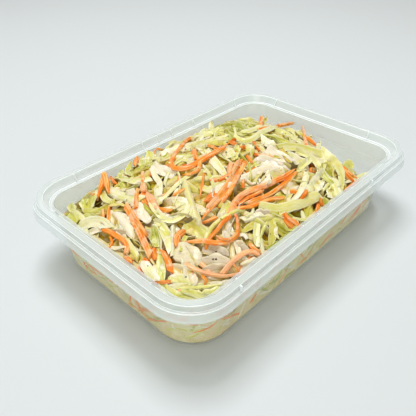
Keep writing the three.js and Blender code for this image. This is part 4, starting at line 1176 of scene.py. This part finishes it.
def carrot_material():
    """Shredded carrot, streaked along its length, pale where dressing coats it, with painted shade where it
    lies sunk.
    """
    nodes = Nodes(bpy.data.materials.new("carrot"))
    sauce, shade, hue = nodes.split(nodes.attribute("piece"))
    streaks = nodes.noise(nodes.scaled(nodes.attribute("grain"), (0.14, 1.6, 1)), 1.0, 3)
    colour = nodes.ramp(streaks, (
        (0.32, linear(236, 114, 8)),
        (0.48, linear(250, 155, 46)),
        (0.64, linear(255, 208, 134)),
    ))
    colour = nodes.mix(nodes.math("MULTIPLY", hue, 0.5), colour, linear(240, 112, 28))
    mask = sauce_mask(nodes, sauce, 240)
    colour = nodes.mix(nodes.math("MULTIPLY", mask, 0.55), colour, linear(250, 212, 172))
    # Painted shade: carrot lying under other pieces is darkened to brown.
    colour = nodes.mix(shade, colour, PAINTED_GAP_SHADE, "MULTIPLY")
    height = nodes.math("ADD", nodes.math("MULTIPLY", streaks, 0.7), nodes.math("MULTIPLY", mask, 0.4))
    nodes.bump(height, 0.0006, 0.8)
    nodes.set(Base_Color=colour, Roughness=nodes.span(mask, 0, 1, 0.38, 0.28))
    # Painted shade on the gloss: specular and coat fade where the strand lies sunk.
    nodes.set(Specular_IOR_Level=nodes.span(shade, 0, 0.8, 0.25, 0.05))
    nodes.set(Coat_Weight=nodes.span(shade, 0, 0.6, 0.25, 0), Coat_Roughness=0.14)
    nodes.set(Subsurface_Weight=0.25, Subsurface_Scale=0.0007, Subsurface_Radius=(1.0, 0.45, 0.15))
    return nodes.owner


def body_material():
    """The mixed slaw under the shreds: dressing and small cabbage, with painted shade in the deep gaps."""
    nodes = Nodes(bpy.data.materials.new("slaw_body"))
    painted_gap_shade, wet, _ = nodes.split(nodes.attribute("piece"))
    place = nodes.place()
    mottle = nodes.noise(nodes.scaled(place, (1, 1, 0.7)), 320, 3)
    colour = nodes.ramp(mottle, (
        (0.3, linear(210, 200, 124)),
        (0.5, linear(228, 219, 162)),
        (0.7, linear(247, 240, 210)),
    ))
    colour = nodes.mix(wet, colour, DRESSING_SHADE)
    # Painted shade: deep gaps darkened to brown.
    colour = nodes.mix(painted_gap_shade, colour, linear(98, 64, 2))
    nodes.bump(mottle, 0.0005, 0.7)
    nodes.set(Base_Color=colour, Roughness=0.5, Specular_IOR_Level=0.1)
    nodes.set(Subsurface_Weight=0.15, Subsurface_Scale=0.002)
    return nodes.owner


def pepper_material():
    """Dark, speckled grains."""
    nodes = Nodes(bpy.data.materials.new("pepper"))
    speckle = nodes.noise(nodes.place(), 2400, 2)
    colour = nodes.ramp(speckle, ((0.35, linear(38, 30, 26)), (0.7, linear(92, 80, 72))))
    nodes.bump(speckle, 0.0002)
    nodes.set(Base_Color=colour, Roughness=0.55)
    return nodes.owner


def plastic_material():
    """Clear, slightly milky polypropylene: see-through, whiter where it is seen aslant, and glossy."""
    nodes = Nodes(bpy.data.materials.new("clear_plastic"))
    nodes.set(Base_Color=linear(244, 252, 254), Roughness=0.35, Specular_IOR_Level=0.3)
    clear = nodes.new("ShaderNodeBsdfTransparent", {"Color": (0.985, 0.99, 0.99, 1)}).outputs[0]
    tilt = nodes.new("ShaderNodeLayerWeight", {"Blend": 0.5}).outputs["Facing"]
    bend, rim, _ = nodes.split(nodes.attribute("piece"))
    thicker = nodes.math("MULTIPLY_ADD", bend, BEND_MILK, nodes.math("MULTIPLY", rim, RIM_MILK))
    milk = nodes.math("ADD", nodes.span(tilt, 0.55, 1.0, HEAD_ON_MILK, ASLANT_MILK), thicker, clamp=True)
    body = nodes.blend(milk, clear, nodes.shader.outputs[0])
    gloss = nodes.new("ShaderNodeBsdfGlossy", {"Roughness": 0.12}).outputs[0]
    mirror = nodes.math("ADD", nodes.math("MULTIPLY", nodes.math("POWER", tilt, 5.0), 0.6), 0.03)
    output = nodes.tree.nodes["Material Output"].inputs["Surface"]
    nodes.feed(nodes.blend(mirror, body, gloss), output)
    return nodes.owner


# ---- Tub ----

FLAT_GUARD = 0.2                 # how far beside a bend the ring that keeps a flat flat is
EDGE_ROUND = 0.35
ROUND_SHARE = 0.45               # the most of a flat that the rounding of each end takes
LEVEL_SLACK = 0.1                # what counts as the rim starts this far under the skirt's foot
TUB_FILLET_STEPS = 6
RIB_SIDES = 12
RIB_ENDS = ((-0.5, 0.6), (-0.46, 1), (0.46, 1), (0.5, 0.6))    # places along a rib, and its size there
RIM_STEPS = (14, 12, 8)          # steps round each corner, along a long side and along a short side
SIDE_STEPS = (10, 40, 28)
SIDE_COUNT = 4 * SIDE_STEPS[0] + 2 * SIDE_STEPS[1] + 2 * SIDE_STEPS[2]


def outline(inset, corner, steps):
    """A rounded rectangle set in from the skirt, with this many steps on corners, long and short sides."""
    corner_steps, long_steps, short_steps = steps
    half_length, half_width = LENGTH / 2 - inset, WIDTH / 2 - inset
    points = []
    for quarter in range(4):
        sign_x = 1 if quarter in (0, 3) else -1
        sign_y = 1 if quarter < 2 else -1
        angle = (quarter + np.linspace(0, 1, corner_steps + 1)) * math.pi / 2
        x = sign_x * (half_length - corner) + corner * np.cos(angle)
        y = sign_y * (half_width - corner) + corner * np.sin(angle)
        points += list(zip(x, y))
        count = short_steps if quarter % 2 else long_steps
        run_x = 0 if quarter % 2 else -2 * sign_x * (half_length - corner)
        run_y = -2 * sign_y * (half_width - corner) if quarter % 2 else 0
        for step in range(1, count):
            points.append((x[-1] + run_x * step / count, y[-1] + run_y * step / count))
    return np.array(points)


def at_level(plan, z):
    """Plan points at one height."""
    return np.column_stack([plan, np.full(len(plan), z)])


def body_share(z):
    """How far up the drafted wall a height is, from its foot at 0 to its top at 1."""
    return (z - FLOOR_FILLET) / (HEIGHT - SEAT_DROP - WALL - FLOOR_FILLET)


def body_inset(z):
    """How far in from the skirt the wall's outside is at a height."""
    return BODY_FOOT_INSET + (BODY_TOP_INSET - BODY_FOOT_INSET) * body_share(z)


def body_corner(z):
    """The plan radius of its corners at a height."""
    return BODY_FOOT_CORNER + (BODY_TOP_CORNER - BODY_FOOT_CORNER) * body_share(z)


def fillet_profile(offset, steps):
    """Inset, height and corner radius up the fillet from floor to wall."""
    radius = FLOOR_FILLET - offset
    angle = np.linspace(0, math.pi / 2, steps + 1)
    inset = BODY_FOOT_INSET + FLOOR_FILLET - radius * np.sin(angle)
    corner = BODY_FOOT_CORNER - FLOOR_FILLET + radius * np.sin(angle)
    return np.column_stack([inset, FLOOR_FILLET - radius * np.cos(angle), corner])


def rounded(profile, radius, steps=4):
    """A profile with its bends rounded, as inset, height, corner radius and 1 at the bends. A ring beside
    each bend keeps the flats flat."""
    points = [(*profile[0], 0)]
    for before, here, after in zip(profile, profile[1:], profile[2:]):
        back, ahead = before - here, after - here
        reach = min(radius, ROUND_SHARE * np.linalg.norm(back), ROUND_SHARE * np.linalg.norm(ahead))
        start = here + back / np.linalg.norm(back) * reach
        end = here + ahead / np.linalg.norm(ahead) * reach
        if np.linalg.norm(back) > 2 * reach + 3 * FLAT_GUARD:
            points.append((*(start + back / np.linalg.norm(back) * FLAT_GUARD), 0))
        for share in np.linspace(0, 1, steps + 1):
            bend = start * (1 - share) ** 2 + 2 * here * share * (1 - share) + end * share ** 2
            points.append((*bend, math.sin(share * math.pi)))
        if np.linalg.norm(ahead) > 2 * reach + 3 * FLAT_GUARD:
            points.append((*(end + ahead / np.linalg.norm(ahead) * FLAT_GUARD), 0))
    points.append((*profile[-1], 0))
    return np.array(points)


def rim_point(inset, z):
    """A bend of the rim, whose corners share the skirt's centre."""
    return (inset, z, SKIRT_CORNER - inset)


def tub_profile():
    """The tub's section, from the floor outside, over the lip, to the floor inside."""
    under = HEIGHT - SEAT_DROP - WALL
    shoulder = HEIGHT - SHOULDER_DROP
    foot = HEIGHT - SKIRT_DROP
    ledge = HEIGHT - SEAT_DROP
    bends = np.array([
        fillet_profile(0, TUB_FILLET_STEPS)[-1],
        (body_inset(under), under, body_corner(under)),
        rim_point(SEAT_INSET - WALL / 2, under),
        rim_point(LIP_INNER - WALL / 2, HEIGHT - WALL),
        rim_point(LIP_OUTER + WALL, HEIGHT - WALL),
        rim_point(LIP_FOOT_INSET + WALL, shoulder - WALL),
        rim_point(SHOULDER_INSET + WALL, shoulder - WALL),
        rim_point(WALL, foot),
        rim_point(0, foot),
        rim_point(SHOULDER_INSET, shoulder),
        rim_point(LIP_FOOT_INSET, shoulder),
        rim_point(LIP_OUTER, HEIGHT),
        rim_point(LIP_INNER, HEIGHT),
        rim_point(SEAT_INSET, ledge),
        (body_inset(ledge) + WALL, ledge, body_corner(ledge) - WALL),
        fillet_profile(WALL, TUB_FILLET_STEPS)[-1],
    ])
    middle = rounded(bends, EDGE_ROUND)
    middle[[0, -1], 1] += FLAT_GUARD
    outside = fillet_profile(0, TUB_FILLET_STEPS)
    inside = fillet_profile(WALL, TUB_FILLET_STEPS)[::-1]
    flat = np.zeros((len(outside), 1))
    return np.vstack([np.hstack([outside, flat]), middle, np.hstack([inside, flat])])


def rib_mesh(x, y, turn, lean, height, z):
    """A thin upright rib, as points and faces."""
    across, deep = section(RIB_SIDES, 0.5)
    rows = []
    for share, size in RIB_ENDS:
        rows += [(wide * RIB_WIDTH / 2 * size, out * RIB_DEPTH / 2 * size + RIB_PROUD - RIB_DEPTH / 2,
                  share * height) for wide, out in zip(across, deep)]
    turned_by = Matrix.Rotation(turn, 3, "Z") @ Matrix.Rotation(lean, 3, "X")
    points = np.array([turned_by @ Vector(p) for p in rows]) + np.array([x, y, z])
    return points, tube_faces(len(RIB_ENDS), RIB_SIDES)


def make_tub():
    """The tub at its true section, with rounded edges and the ribs that hold a lid."""
    profile = tub_profile()
    rings = [outline(inset, corner, RIM_STEPS) for inset, _, corner, _ in profile]
    count = len(rings[0])
    points = np.vstack([at_level(ring, row[1]) for ring, row in zip(rings, profile)])
    bends = np.repeat(profile[:, 3], count)
    points, faces = add_ribs(points, closed_faces(len(rings), count))
    bends = np.r_[bends, np.ones(len(points) - len(bends))]
    rim = (points[:, 2] > HEIGHT - SKIRT_DROP - LEVEL_SLACK).astype(float)
    values = np.column_stack([bends, rim, rim])
    shell = make_piece("tub_shell", points, faces, values, plastic_material())
    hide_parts("tub")


def add_ribs(points, faces):
    """Adds the ribs on the lid's wall and on the skirt."""
    lean = math.atan2(SEAT_INSET - LIP_INNER, SEAT_DROP)
    slope = math.hypot(SEAT_INSET - LIP_INNER, SEAT_DROP) - WALL
    middle = (LIP_INNER + SEAT_INSET) / 2
    seat = HEIGHT - SEAT_DROP / 2
    ribs = []
    for side in (-1, 1):
        turn = 0 if side < 0 else math.pi
        ribs += [rib_mesh(x, side * (WIDTH / 2 - middle), turn, lean, slope, seat) for x in RIBS_ALONG]
        ribs += [rib_mesh(side * (LENGTH / 2 - middle), y, side * math.pi / 2, lean, slope, seat)
                 for y in RIBS_ACROSS]
    outer = LIP_FOOT_INSET - RIB_DEPTH / 4
    ribs += [rib_mesh(x, -(WIDTH / 2 - outer), math.pi, 0, SHOULDER_DROP, HEIGHT - SHOULDER_DROP / 2)
             for x in SKIRT_RIBS]
    for rib_points, rib_faces in ribs:
        faces += (rib_faces + len(points)).tolist()
        points = np.vstack([points, rib_points])
    return points, faces


# ---- Slaw body ----

BODY_RINGS = 64                  # rings over the top
SIDE_LEVELS = 14                 # rings up the wall
FILLET_STEPS = 5
EDGE_LEVEL = 24                  # height whose outline gives the plan of the body's edge
EDGE_SINK = 0.5                  # how far under the heap's surface the body meets the wall
GAP_START, GAP_SPAN = 1.3, 2.2   # how deep the painted shade of a gap begins, and over what depth it grows
WET_GAP = 0.6                    # how much of that painted shade the wettest dressing takes away
WALL_GAP = 0.25                  # share of that painted shade left by the wall
SAUCE_STEP, SAUCE_BLUR = 6, 3    # cells between the places where dressing is found, and its blur
LEVEL_BLUR = 1.2
DRY_SINK, WET_RISE = 2.5, 1.9    # how far under the pieces dry slaw is, and how much higher wet slaw is
CORE_SINK = 0.8                  # the least depth under the heap's surface
GAP_DEPTH = 3.5                  # how much deeper it is in a gap that stays open
EDGE_BAND, EDGE_DEPTH = 2.5, 2.0     # a band by the wall, and how deep it may be there


def make_body():
    """The mixed slaw: against the wall up to the heap's edge, then over the top under the shreds."""
    dressed = dressing_level()
    edge = wall_outline(EDGE_LEVEL)
    count = len(edge)
    rings = [at_level(outline(inset, corner, SIDE_STEPS), z)
             for inset, z, corner in fillet_profile(FILL_DEPTH, FILLET_STEPS)]
    edge_height = heap_height(edge[:, 0], edge[:, 1]) - EDGE_SINK
    for share in np.linspace(0, 1, SIDE_LEVELS + 1)[1:]:
        rings.append(wall_points(FLOOR_FILLET + (edge_height - FLOOR_FILLET) * share))
    side_points = len(rings) * count
    for level in range(1, BODY_RINGS):
        plan = edge * (1 - level / BODY_RINGS)
        rings.append(np.column_stack([plan, dressed[cells(plan[:, 0], plan[:, 1])]]))
    points = np.vstack(rings)
    place = cells(points[:, 0], points[:, 1])
    wet = saucy[place]
    pale = np.clip(inside_wall(points[:, 0], points[:, 1], BY_WALL).astype(float), WALL_GAP, 1)
    # Painted shade for the gaps: how deep each point of the top lies under the heap's surface.
    sunk = np.clip((HEAP[place] - points[:, 2] - GAP_START) / GAP_SPAN, 0, 1)
    painted_gap_shade = np.where(np.arange(len(points)) >= side_points, sunk * (1 - WET_GAP * wet) * pale, 0)
    faces = closed_faces(len(rings), count)
    body = make_piece("slaw_body", points, faces, np.column_stack([painted_gap_shade, wet, wet]), body_material())
    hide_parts("coleslaw")


def wall_outline(z):
    """The outline at one height of what fills the tub."""
    return outline(body_inset(z) + FILL_DEPTH, body_corner(z) - FILL_DEPTH, SIDE_STEPS)


SPAN_TOP = 40                    # the wall's points are found between its outlines at 0 and at this height
WALL_LOW, WALL_HIGH = wall_outline(0), wall_outline(SPAN_TOP)


def wall_points(z):
    """Points round the wall's inside, at a height for each."""
    return np.column_stack([WALL_LOW + (WALL_HIGH - WALL_LOW) * (z / SPAN_TOP)[:, None], z])


def sauce_field():
    """The share of dressing over the plan, from the areas seen."""
    coarse_x, coarse_y = FIELD_X[::SAUCE_STEP, ::SAUCE_STEP], FIELD_Y[::SAUCE_STEP, ::SAUCE_STEP]
    height = heap_height(coarse_x, coarse_y)
    points = np.column_stack([coarse_x.ravel(), coarse_y.ravel(), height.ravel()])
    share = np.array([area_look(p)[1] for p in points]).reshape(coarse_x.shape)
    whole = np.repeat(np.repeat(share, SAUCE_STEP, axis=0), SAUCE_STEP, axis=1)
    return blurred(whole[:ROWS, :COLUMNS], SAUCE_BLUR)


def dressing_level():
    """Height of the dressing and small shreds between the pieces: near their tops where it is wet."""
    level = blurred(field, LEVEL_BLUR) - DRY_SINK + WET_RISE * saucy
    level = np.minimum(level, HEAP - CORE_SINK) - GAP_DEPTH * cavity
    by_wall = ~inside_wall(FIELD_X, FIELD_Y, EDGE_BAND)
    return np.where(by_wall, np.maximum(level, HEAP - EDGE_DEPTH), level)


# ---- Shreds seen through the wall ----

SIDE_CABBAGE_COUNT, SIDE_CARROT_COUNT = 700, 280
SIDE_STEP = 1.4                  # distance between the stations of a shred
SIDE_SIDES = 8                   # corners of its section
SIDE_RAGGED = 0.2
TOP_CLEAR = 1.5                  # how far under the heap's edge shreds end
HIGHEST = 31
FEWEST_SIDE = 5                  # stations that a shred has at least
ROUND_WALL = 2 * (LENGTH + WIDTH) - 8 * BODY_FOOT_INSET - 40    # about the way round the wall's inside
EDGE_PLACE = 0.97                # where the heap's edge is found, as a share of the way out to the wall


def side_route(start, z, length, slope):
    """A route on the wall's inside: a place round it, a height, a length and a slope."""
    count = max(int(length / SIDE_STEP), FEWEST_SIDE)
    place = start + np.linspace(0, length, count) * math.cos(slope)
    height = z + np.linspace(0, length, count) * math.sin(slope) + wobble(count, 2, 0.4)
    ring = closed_ring(wall_points(np.full(SIDE_COUNT, z)))
    distance = np.r_[0, np.cumsum(np.hypot(*np.diff(ring[:, :2], axis=0).T))]
    number = np.arange(SIDE_COUNT + 1)
    index = np.interp(place % distance[-1], distance, number)
    low, high = closed_ring(WALL_LOW), closed_ring(WALL_HIGH)
    share = height / SPAN_TOP
    plan = [np.interp(index, number, low[:, axis]) * (1 - share)
            + np.interp(index, number, high[:, axis]) * share for axis in (0, 1)]
    return np.column_stack([*plan, height])


def closed_ring(ring):
    """A ring with its first point again at its end."""
    return np.vstack([ring, ring[:1]])


def wall_normals(points):
    """Level directions out of the wall at points on it."""
    corner = body_corner(points[:, 2])
    reach_x = np.abs(points[:, 0]) - (LENGTH / 2 - body_inset(points[:, 2]) - corner)
    reach_y = np.abs(points[:, 1]) - (WIDTH / 2 - body_inset(points[:, 2]) - corner)
    out = np.column_stack([np.maximum(reach_x, 0) * np.sign(points[:, 0]),
                           np.maximum(reach_y, 0) * np.sign(points[:, 1]), np.zeros(len(points))])
    return out / np.maximum(np.linalg.norm(out, axis=1), 1e-6)[:, None]


def add_side_strip(batch, path, width, thickness, look):
    """A strip pressed flat against the wall."""
    stations = len(path)
    along = tangents(path)
    wide = np.cross(along, wall_normals(path))
    wide /= np.linalg.norm(wide, axis=1)[:, None]
    outward = np.cross(wide, along)
    across, up = stick_section(SIDE_SIDES)
    shape = paired_ends(0.6)
    left, right = [edge_line(stations, shape[ends], SIDE_RAGGED, stations / 3)[:, None]
                   for ends in ("left ends", "right ends")]
    offset = across * width / 2 * np.where(across < 0, left, right)
    rise = up * thickness / 2 * np.minimum(left, right)
    points = path[:, None, :] + wide[:, None, :] * offset[..., None] + outward[:, None, :] * rise[..., None]
    grain = grain_of(stations, SIDE_STEP, offset, across)
    batch.add(points.reshape(-1, 3), tube_faces(stations, SIDE_SIDES), grain, look)


def add_side_shreds(batch, carrots, count):
    """Loose shreds pressed against the wall, all round the tub."""
    for _ in range(count):
        start = random.uniform(0, ROUND_WALL)
        length = random.uniform(3, 14)
        slope = random.normal(0.6, 0.35) * random.choice([-1, 1, 1, 1])
        path = side_route(start, random.uniform(-3, 28), length, slope)
        top = heap_height(path[:, 0] * EDGE_PLACE, path[:, 1] * EDGE_PLACE) - TOP_CLEAR
        kept = (path[:, 2] > FLOOR_FILLET) & (path[:, 2] < np.minimum(top, HIGHEST))
        if kept.sum() < FEWEST_SIDE:
            continue
        first = int(np.flatnonzero(kept)[0])
        path = path[first:first + int(kept.sum())]
        if carrots:
            add_side_strip(batch, path, random.uniform(0.7, 1.3), 0.6, (0.1, 0.0, random.uniform(0, 1)))
        else:
            look = (random.beta(0.8, 0.7), random.uniform(0.0, 0.5), 0)
            add_side_strip(batch, path, random.uniform(0.7, 1.9), 0.5, look)


# ---- Pepper ----

LOOSE_PEPPERS = 60
LUMP_RINGS, LUMP_SIDES = 4, 6
LUMP_FLATNESS = 0.6              # its height as a share of its width


def lump_mesh(centre, size):
    """A small uneven grain."""
    ball = []
    for ring in range(1, LUMP_RINGS + 1):
        tilt = ring / (LUMP_RINGS + 1) * math.pi
        for step in range(LUMP_SIDES):
            turn = step / LUMP_SIDES * FULL_TURN
            reach = size / 2 * random.uniform(0.75, 1.15)
            ball.append((reach * math.sin(tilt) * math.cos(turn), reach * math.sin(tilt) * math.sin(turn),
                         -reach * LUMP_FLATNESS * math.cos(tilt)))
    return np.array(ball) + centre


def surface_point(pixel):
    """The point of the laid pieces that a pixel sees."""
    points = ray_points(pixel)
    inside = inside_wall(points[:, 0], points[:, 1], 1)
    laid = np.where(inside, field[cells(points[:, 0], points[:, 1])], -NOWHERE)
    return first_under(points, laid - points[:, 2])


def make_pepper():
    """Grains where the photo shows them, and a few small ones anywhere."""
    specks = Batch("pepper_specks")
    spots = [(surface_point((u, v)), size) for u, v, size in PEPPERS]
    for _ in range(LOOSE_PEPPERS):
        x, y = random.uniform(-REACH_X, REACH_X) * 0.9, random.uniform(-REACH_Y, REACH_Y) * 0.9
        laid = field[cells(np.array([x]), np.array([y]))][0]
        spots.append((np.array([x, y, laid]), random.uniform(0.4, 0.8)))
    for centre, size in spots:
        points = lump_mesh(centre, size)
        specks.add(points, tube_faces(LUMP_RINGS, LUMP_SIDES), points, (0, 0, 0))
    specks.build(pepper_material(), "slaw")


# ---- Heap of shreds ----

LEAF_COUNT = 60
LEAF_WIDEST, LEAF_NARROWER = 11, 4       # width of the first loose leaf, and how much less the last has
LEAF_LENGTH = 1.7                        # in widths
CABBAGE_COUNT = 480
WIDE_RIBBON = 3.5                        # wider ribbons are cabbage_shreds, and the others are fine ones
CARROT_EVERY = 7                         # a loose carrot strand follows every so many ribbons
THREAD_COUNT = 80
LEAF_THICK, LOOSE_THICK, RIBBON_THICK = 0.6, 0.8, 0.9
CARROT_THICK, THREAD_THICK = 1.6, 0.7
LEAF_BEND, RIBBON_BEND, LOOSE_RIBBON_BEND = 8, 9, 7    # the tightest radii that pieces bend to
CARROT_BEND, LOOSE_CARROT_BEND, THREAD_BEND = 30, 35, 5
PLACED_WIDER, CARROTS_WIDER = 1.1, 1.07  # how much wider than they look folded pieces are cut
LOW_CARROT_HUE = 0.7
CAVITY_LIFT = -2


def open_cavities():
    """Marks the gaps that stay open."""
    for u, v, radius in CAVITIES:
        x, y, _ = on_heap((u, v), CAVITY_LIFT)
        cavity[plan_disc(x, y, radius)] = 1


def cabbage_look(tint, sauce, depth):
    """A loose piece's values for the cabbage material."""
    return (tint, sauce, depth)


def carrot_look(_, sauce, depth):
    """A loose piece's values for the carrot material: its own hue in place of a tint."""
    return (sauce, depth, random.uniform(0, 1))


def standing_leaf(width):
    """A listed leaf with sharp ends."""
    return leaf_shape(width, True, 1)


def lying_leaf(width):
    """A listed leaf, some of its ends sharp."""
    return leaf_shape(width, True)


def lay_loose_ribbons(ribbons, fine, carrots):
    """Loose ribbons and fine ones, with carrot strands among them."""
    for i in range(CABBAGE_COUNT):
        width = float(np.clip(random.normal(3.5, 1.0), 1.6, 6))
        batch = ribbons if width > WIDE_RIBBON else fine
        lay_loose(batch, random.uniform(18, 38), width, LOOSE_THICK, LOOSE_RIBBON_BEND, cabbage_look,
                  ribbon_shape(width))
        if i % CARROT_EVERY == 0:
            length, width = random.uniform(14, 26), random.uniform(1.6, 3)
            lay_loose(carrots, length, width, CARROT_THICK, LOOSE_CARROT_BEND, carrot_look, carrot_shape())


def lay_leaves(leaves, pieces, shape_of):
    """The leaves of one list."""
    for width, *look, pixels in pieces.values():
        lay_hand_placed(leaves, pixels, width, LEAF_THICK, LEAF_BEND, look, shape_of(width), LEAF_STEP)


def lay_ribbons(ribbons, pieces, manner):
    """The ribbons of one list."""
    for width, *look, pixels in pieces.values():
        width *= PLACED_WIDER
        lay_hand_placed(ribbons, pixels, width, RIBBON_THICK, RIBBON_BEND, look, ribbon_shape(width, manner))


def lay_heap():
    """Loose pieces from the largest to the smallest, then the listed ones, then loose threads."""
    leaves, ribbons = Batch("cabbage_leaves"), Batch("cabbage_shreds")
    fine, carrots = Batch("fine_cabbage_shreds"), Batch("carrot_shreds")
    for i in range(LEAF_COUNT):
        width = LEAF_WIDEST - LEAF_NARROWER * i / LEAF_COUNT
        lay_loose(leaves, width * LEAF_LENGTH, width, LOOSE_THICK, LEAF_BEND, cabbage_look, leaf_shape(width))
    lay_loose_ribbons(ribbons, fine, carrots)
    lay_leaves(leaves, TIPS, standing_leaf)
    lay_leaves(leaves, LEAVES, lying_leaf)
    lay_leaves(leaves, SHEETS, sheet_shape)
    for width, *look, pixels in LOW_CARROTS.values():
        look.append(LOW_CARROT_HUE)
        lay_hand_placed(carrots, pixels, width, width * 0.6, CARROT_BEND, look, carrot_shape())
    lay_ribbons(ribbons, RIBBONS, PLACED)
    for width, *look, pixels in CARROTS.values():
        width *= CARROTS_WIDER
        look.append(random.uniform(0, 0.7))
        lay_hand_placed(carrots, pixels, width, width * 0.65, CARROT_BEND, look, carrot_shape())
    lay_ribbons(ribbons, TOP_RIBBONS, BROAD)
    for _ in range(THREAD_COUNT):
        width = random.uniform(0.9, 2.0)
        lay_loose(fine, random.uniform(14, 32), width, THREAD_THICK, THREAD_BEND, cabbage_look,
                  ribbon_shape(width))
    return leaves, ribbons, fine, carrots


# ---- Studio ----

# Lights: place and size in metres, power and colour.
LIGHTS = {
    "key": ((0.1, 0.2, 1.0), 0.45, 7.85, (0.97, 0.98, 0.99)),
    "fill": ((-0.8, -0.6, 0.6), 0.8, 3.8, (1, 0.98, 0.94)),
}
LIT_POINT = (0, 0, 0.02)
FLOOR_SIDE = 8
OVERHEAD = (0.32, 0.291, 0.218, 1)     # warm light from above
HORIZON = (0.60, 0.63, 0.64, 1)        # and paler, cooler light from low down
LOW_SKY, HIGH_SKY = 0.32, 0.5          # between these heights of view one goes over to the other
SEE_THROUGH_FACES = 48           # faces of plastic that light may pass before it is taken as lost


def area_light(name, place, size, power, colour):
    """A round soft light that faces the part."""
    light = bpy.data.lights.new(name, "AREA")
    light.shape = "DISK"
    light.size = size
    light.energy = power
    light.color = colour
    lamp = bpy.data.objects.new(name, light)
    bpy.context.scene.collection.objects.link(lamp)
    lamp.location = place
    lamp.rotation_euler = (Vector(LIT_POINT) - Vector(place)).to_track_quat("-Z", "Y").to_euler()


def make_world():
    """Soft light from all round: warm overhead, pale near the horizon."""
    nodes = Nodes(bpy.data.worlds.new("studio"), "Background")
    direction = nodes.new("ShaderNodeTexCoord", {}).outputs["Generated"]
    rise = nodes.span(nodes.split(direction)["Z"], LOW_SKY, HIGH_SKY, kind="LINEAR")
    nodes.set(Color=nodes.mix(rise, HORIZON, OVERHEAD))
    bpy.context.scene.world = nodes.owner


def make_studio():
    """A pale floor, a large soft key light from behind, and a weaker fill."""
    bpy.ops.mesh.primitive_plane_add(size=FLOOR_SIDE, location=(0, 0, 0))
    floor = bpy.context.object
    floor.name = "floor"
    nodes = Nodes(bpy.data.materials.new("floor"))
    nodes.set(Base_Color=linear(212, 219, 224), Roughness=0.8)
    floor.data.materials.append(nodes.owner)
    for name, light in LIGHTS.items():
        area_light(name, *light)
    make_world()
    bpy.context.scene.view_settings.view_transform = "Standard"
    bpy.context.scene.cycles.transparent_max_bounces = SEE_THROUGH_FACES


def make_camera():
    """The camera that took the photo."""
    camera = bpy.data.cameras.new("camera")
    camera.sensor_width = SENSOR_WIDTH
    camera.lens = FOCAL_PIXELS * SENSOR_WIDTH / FRAME_SIDE
    camera.clip_start = 0.01
    camera.dof.use_dof = False
    view = bpy.data.objects.new("camera", camera)
    bpy.context.scene.collection.objects.link(view)
    turn = np.eye(4)
    turn[:3, :3] = np.column_stack([RIGHT, UP, BACK])
    turn[:3, 3] = CAMERA_PLACE * MM
    view.matrix_world = Matrix(turn.tolist())
    bpy.context.scene.camera = view


make_camera()
make_studio()
open_cavities()
saucy = sauce_field()
leaves, ribbons, fine, carrots = lay_heap()
cabbage, orange = cabbage_material(), carrot_material()
# Painted shade: each point of a piece darkens by how deep it lies under the pieces around it.
surface = blurred(field, SHADE_REACH)
for batch in (leaves, ribbons, fine):
    batch.shade_sunk(surface, 2)
carrots.shade_sunk(surface, 1)
for batch in (leaves, ribbons, fine):
    batch.build(cabbage, "slaw")
carrots.build(orange, "slaw")
make_body()
side_cabbage, side_carrots = Batch("side_cabbage_shreds"), Batch("side_carrot_shreds")
add_side_shreds(side_cabbage, False, SIDE_CABBAGE_COUNT)
add_side_shreds(side_carrots, True, SIDE_CARROT_COUNT)
side_cabbage.build(cabbage, "slaw")
side_carrots.build(orange, "slaw")
make_pepper()
make_tub()
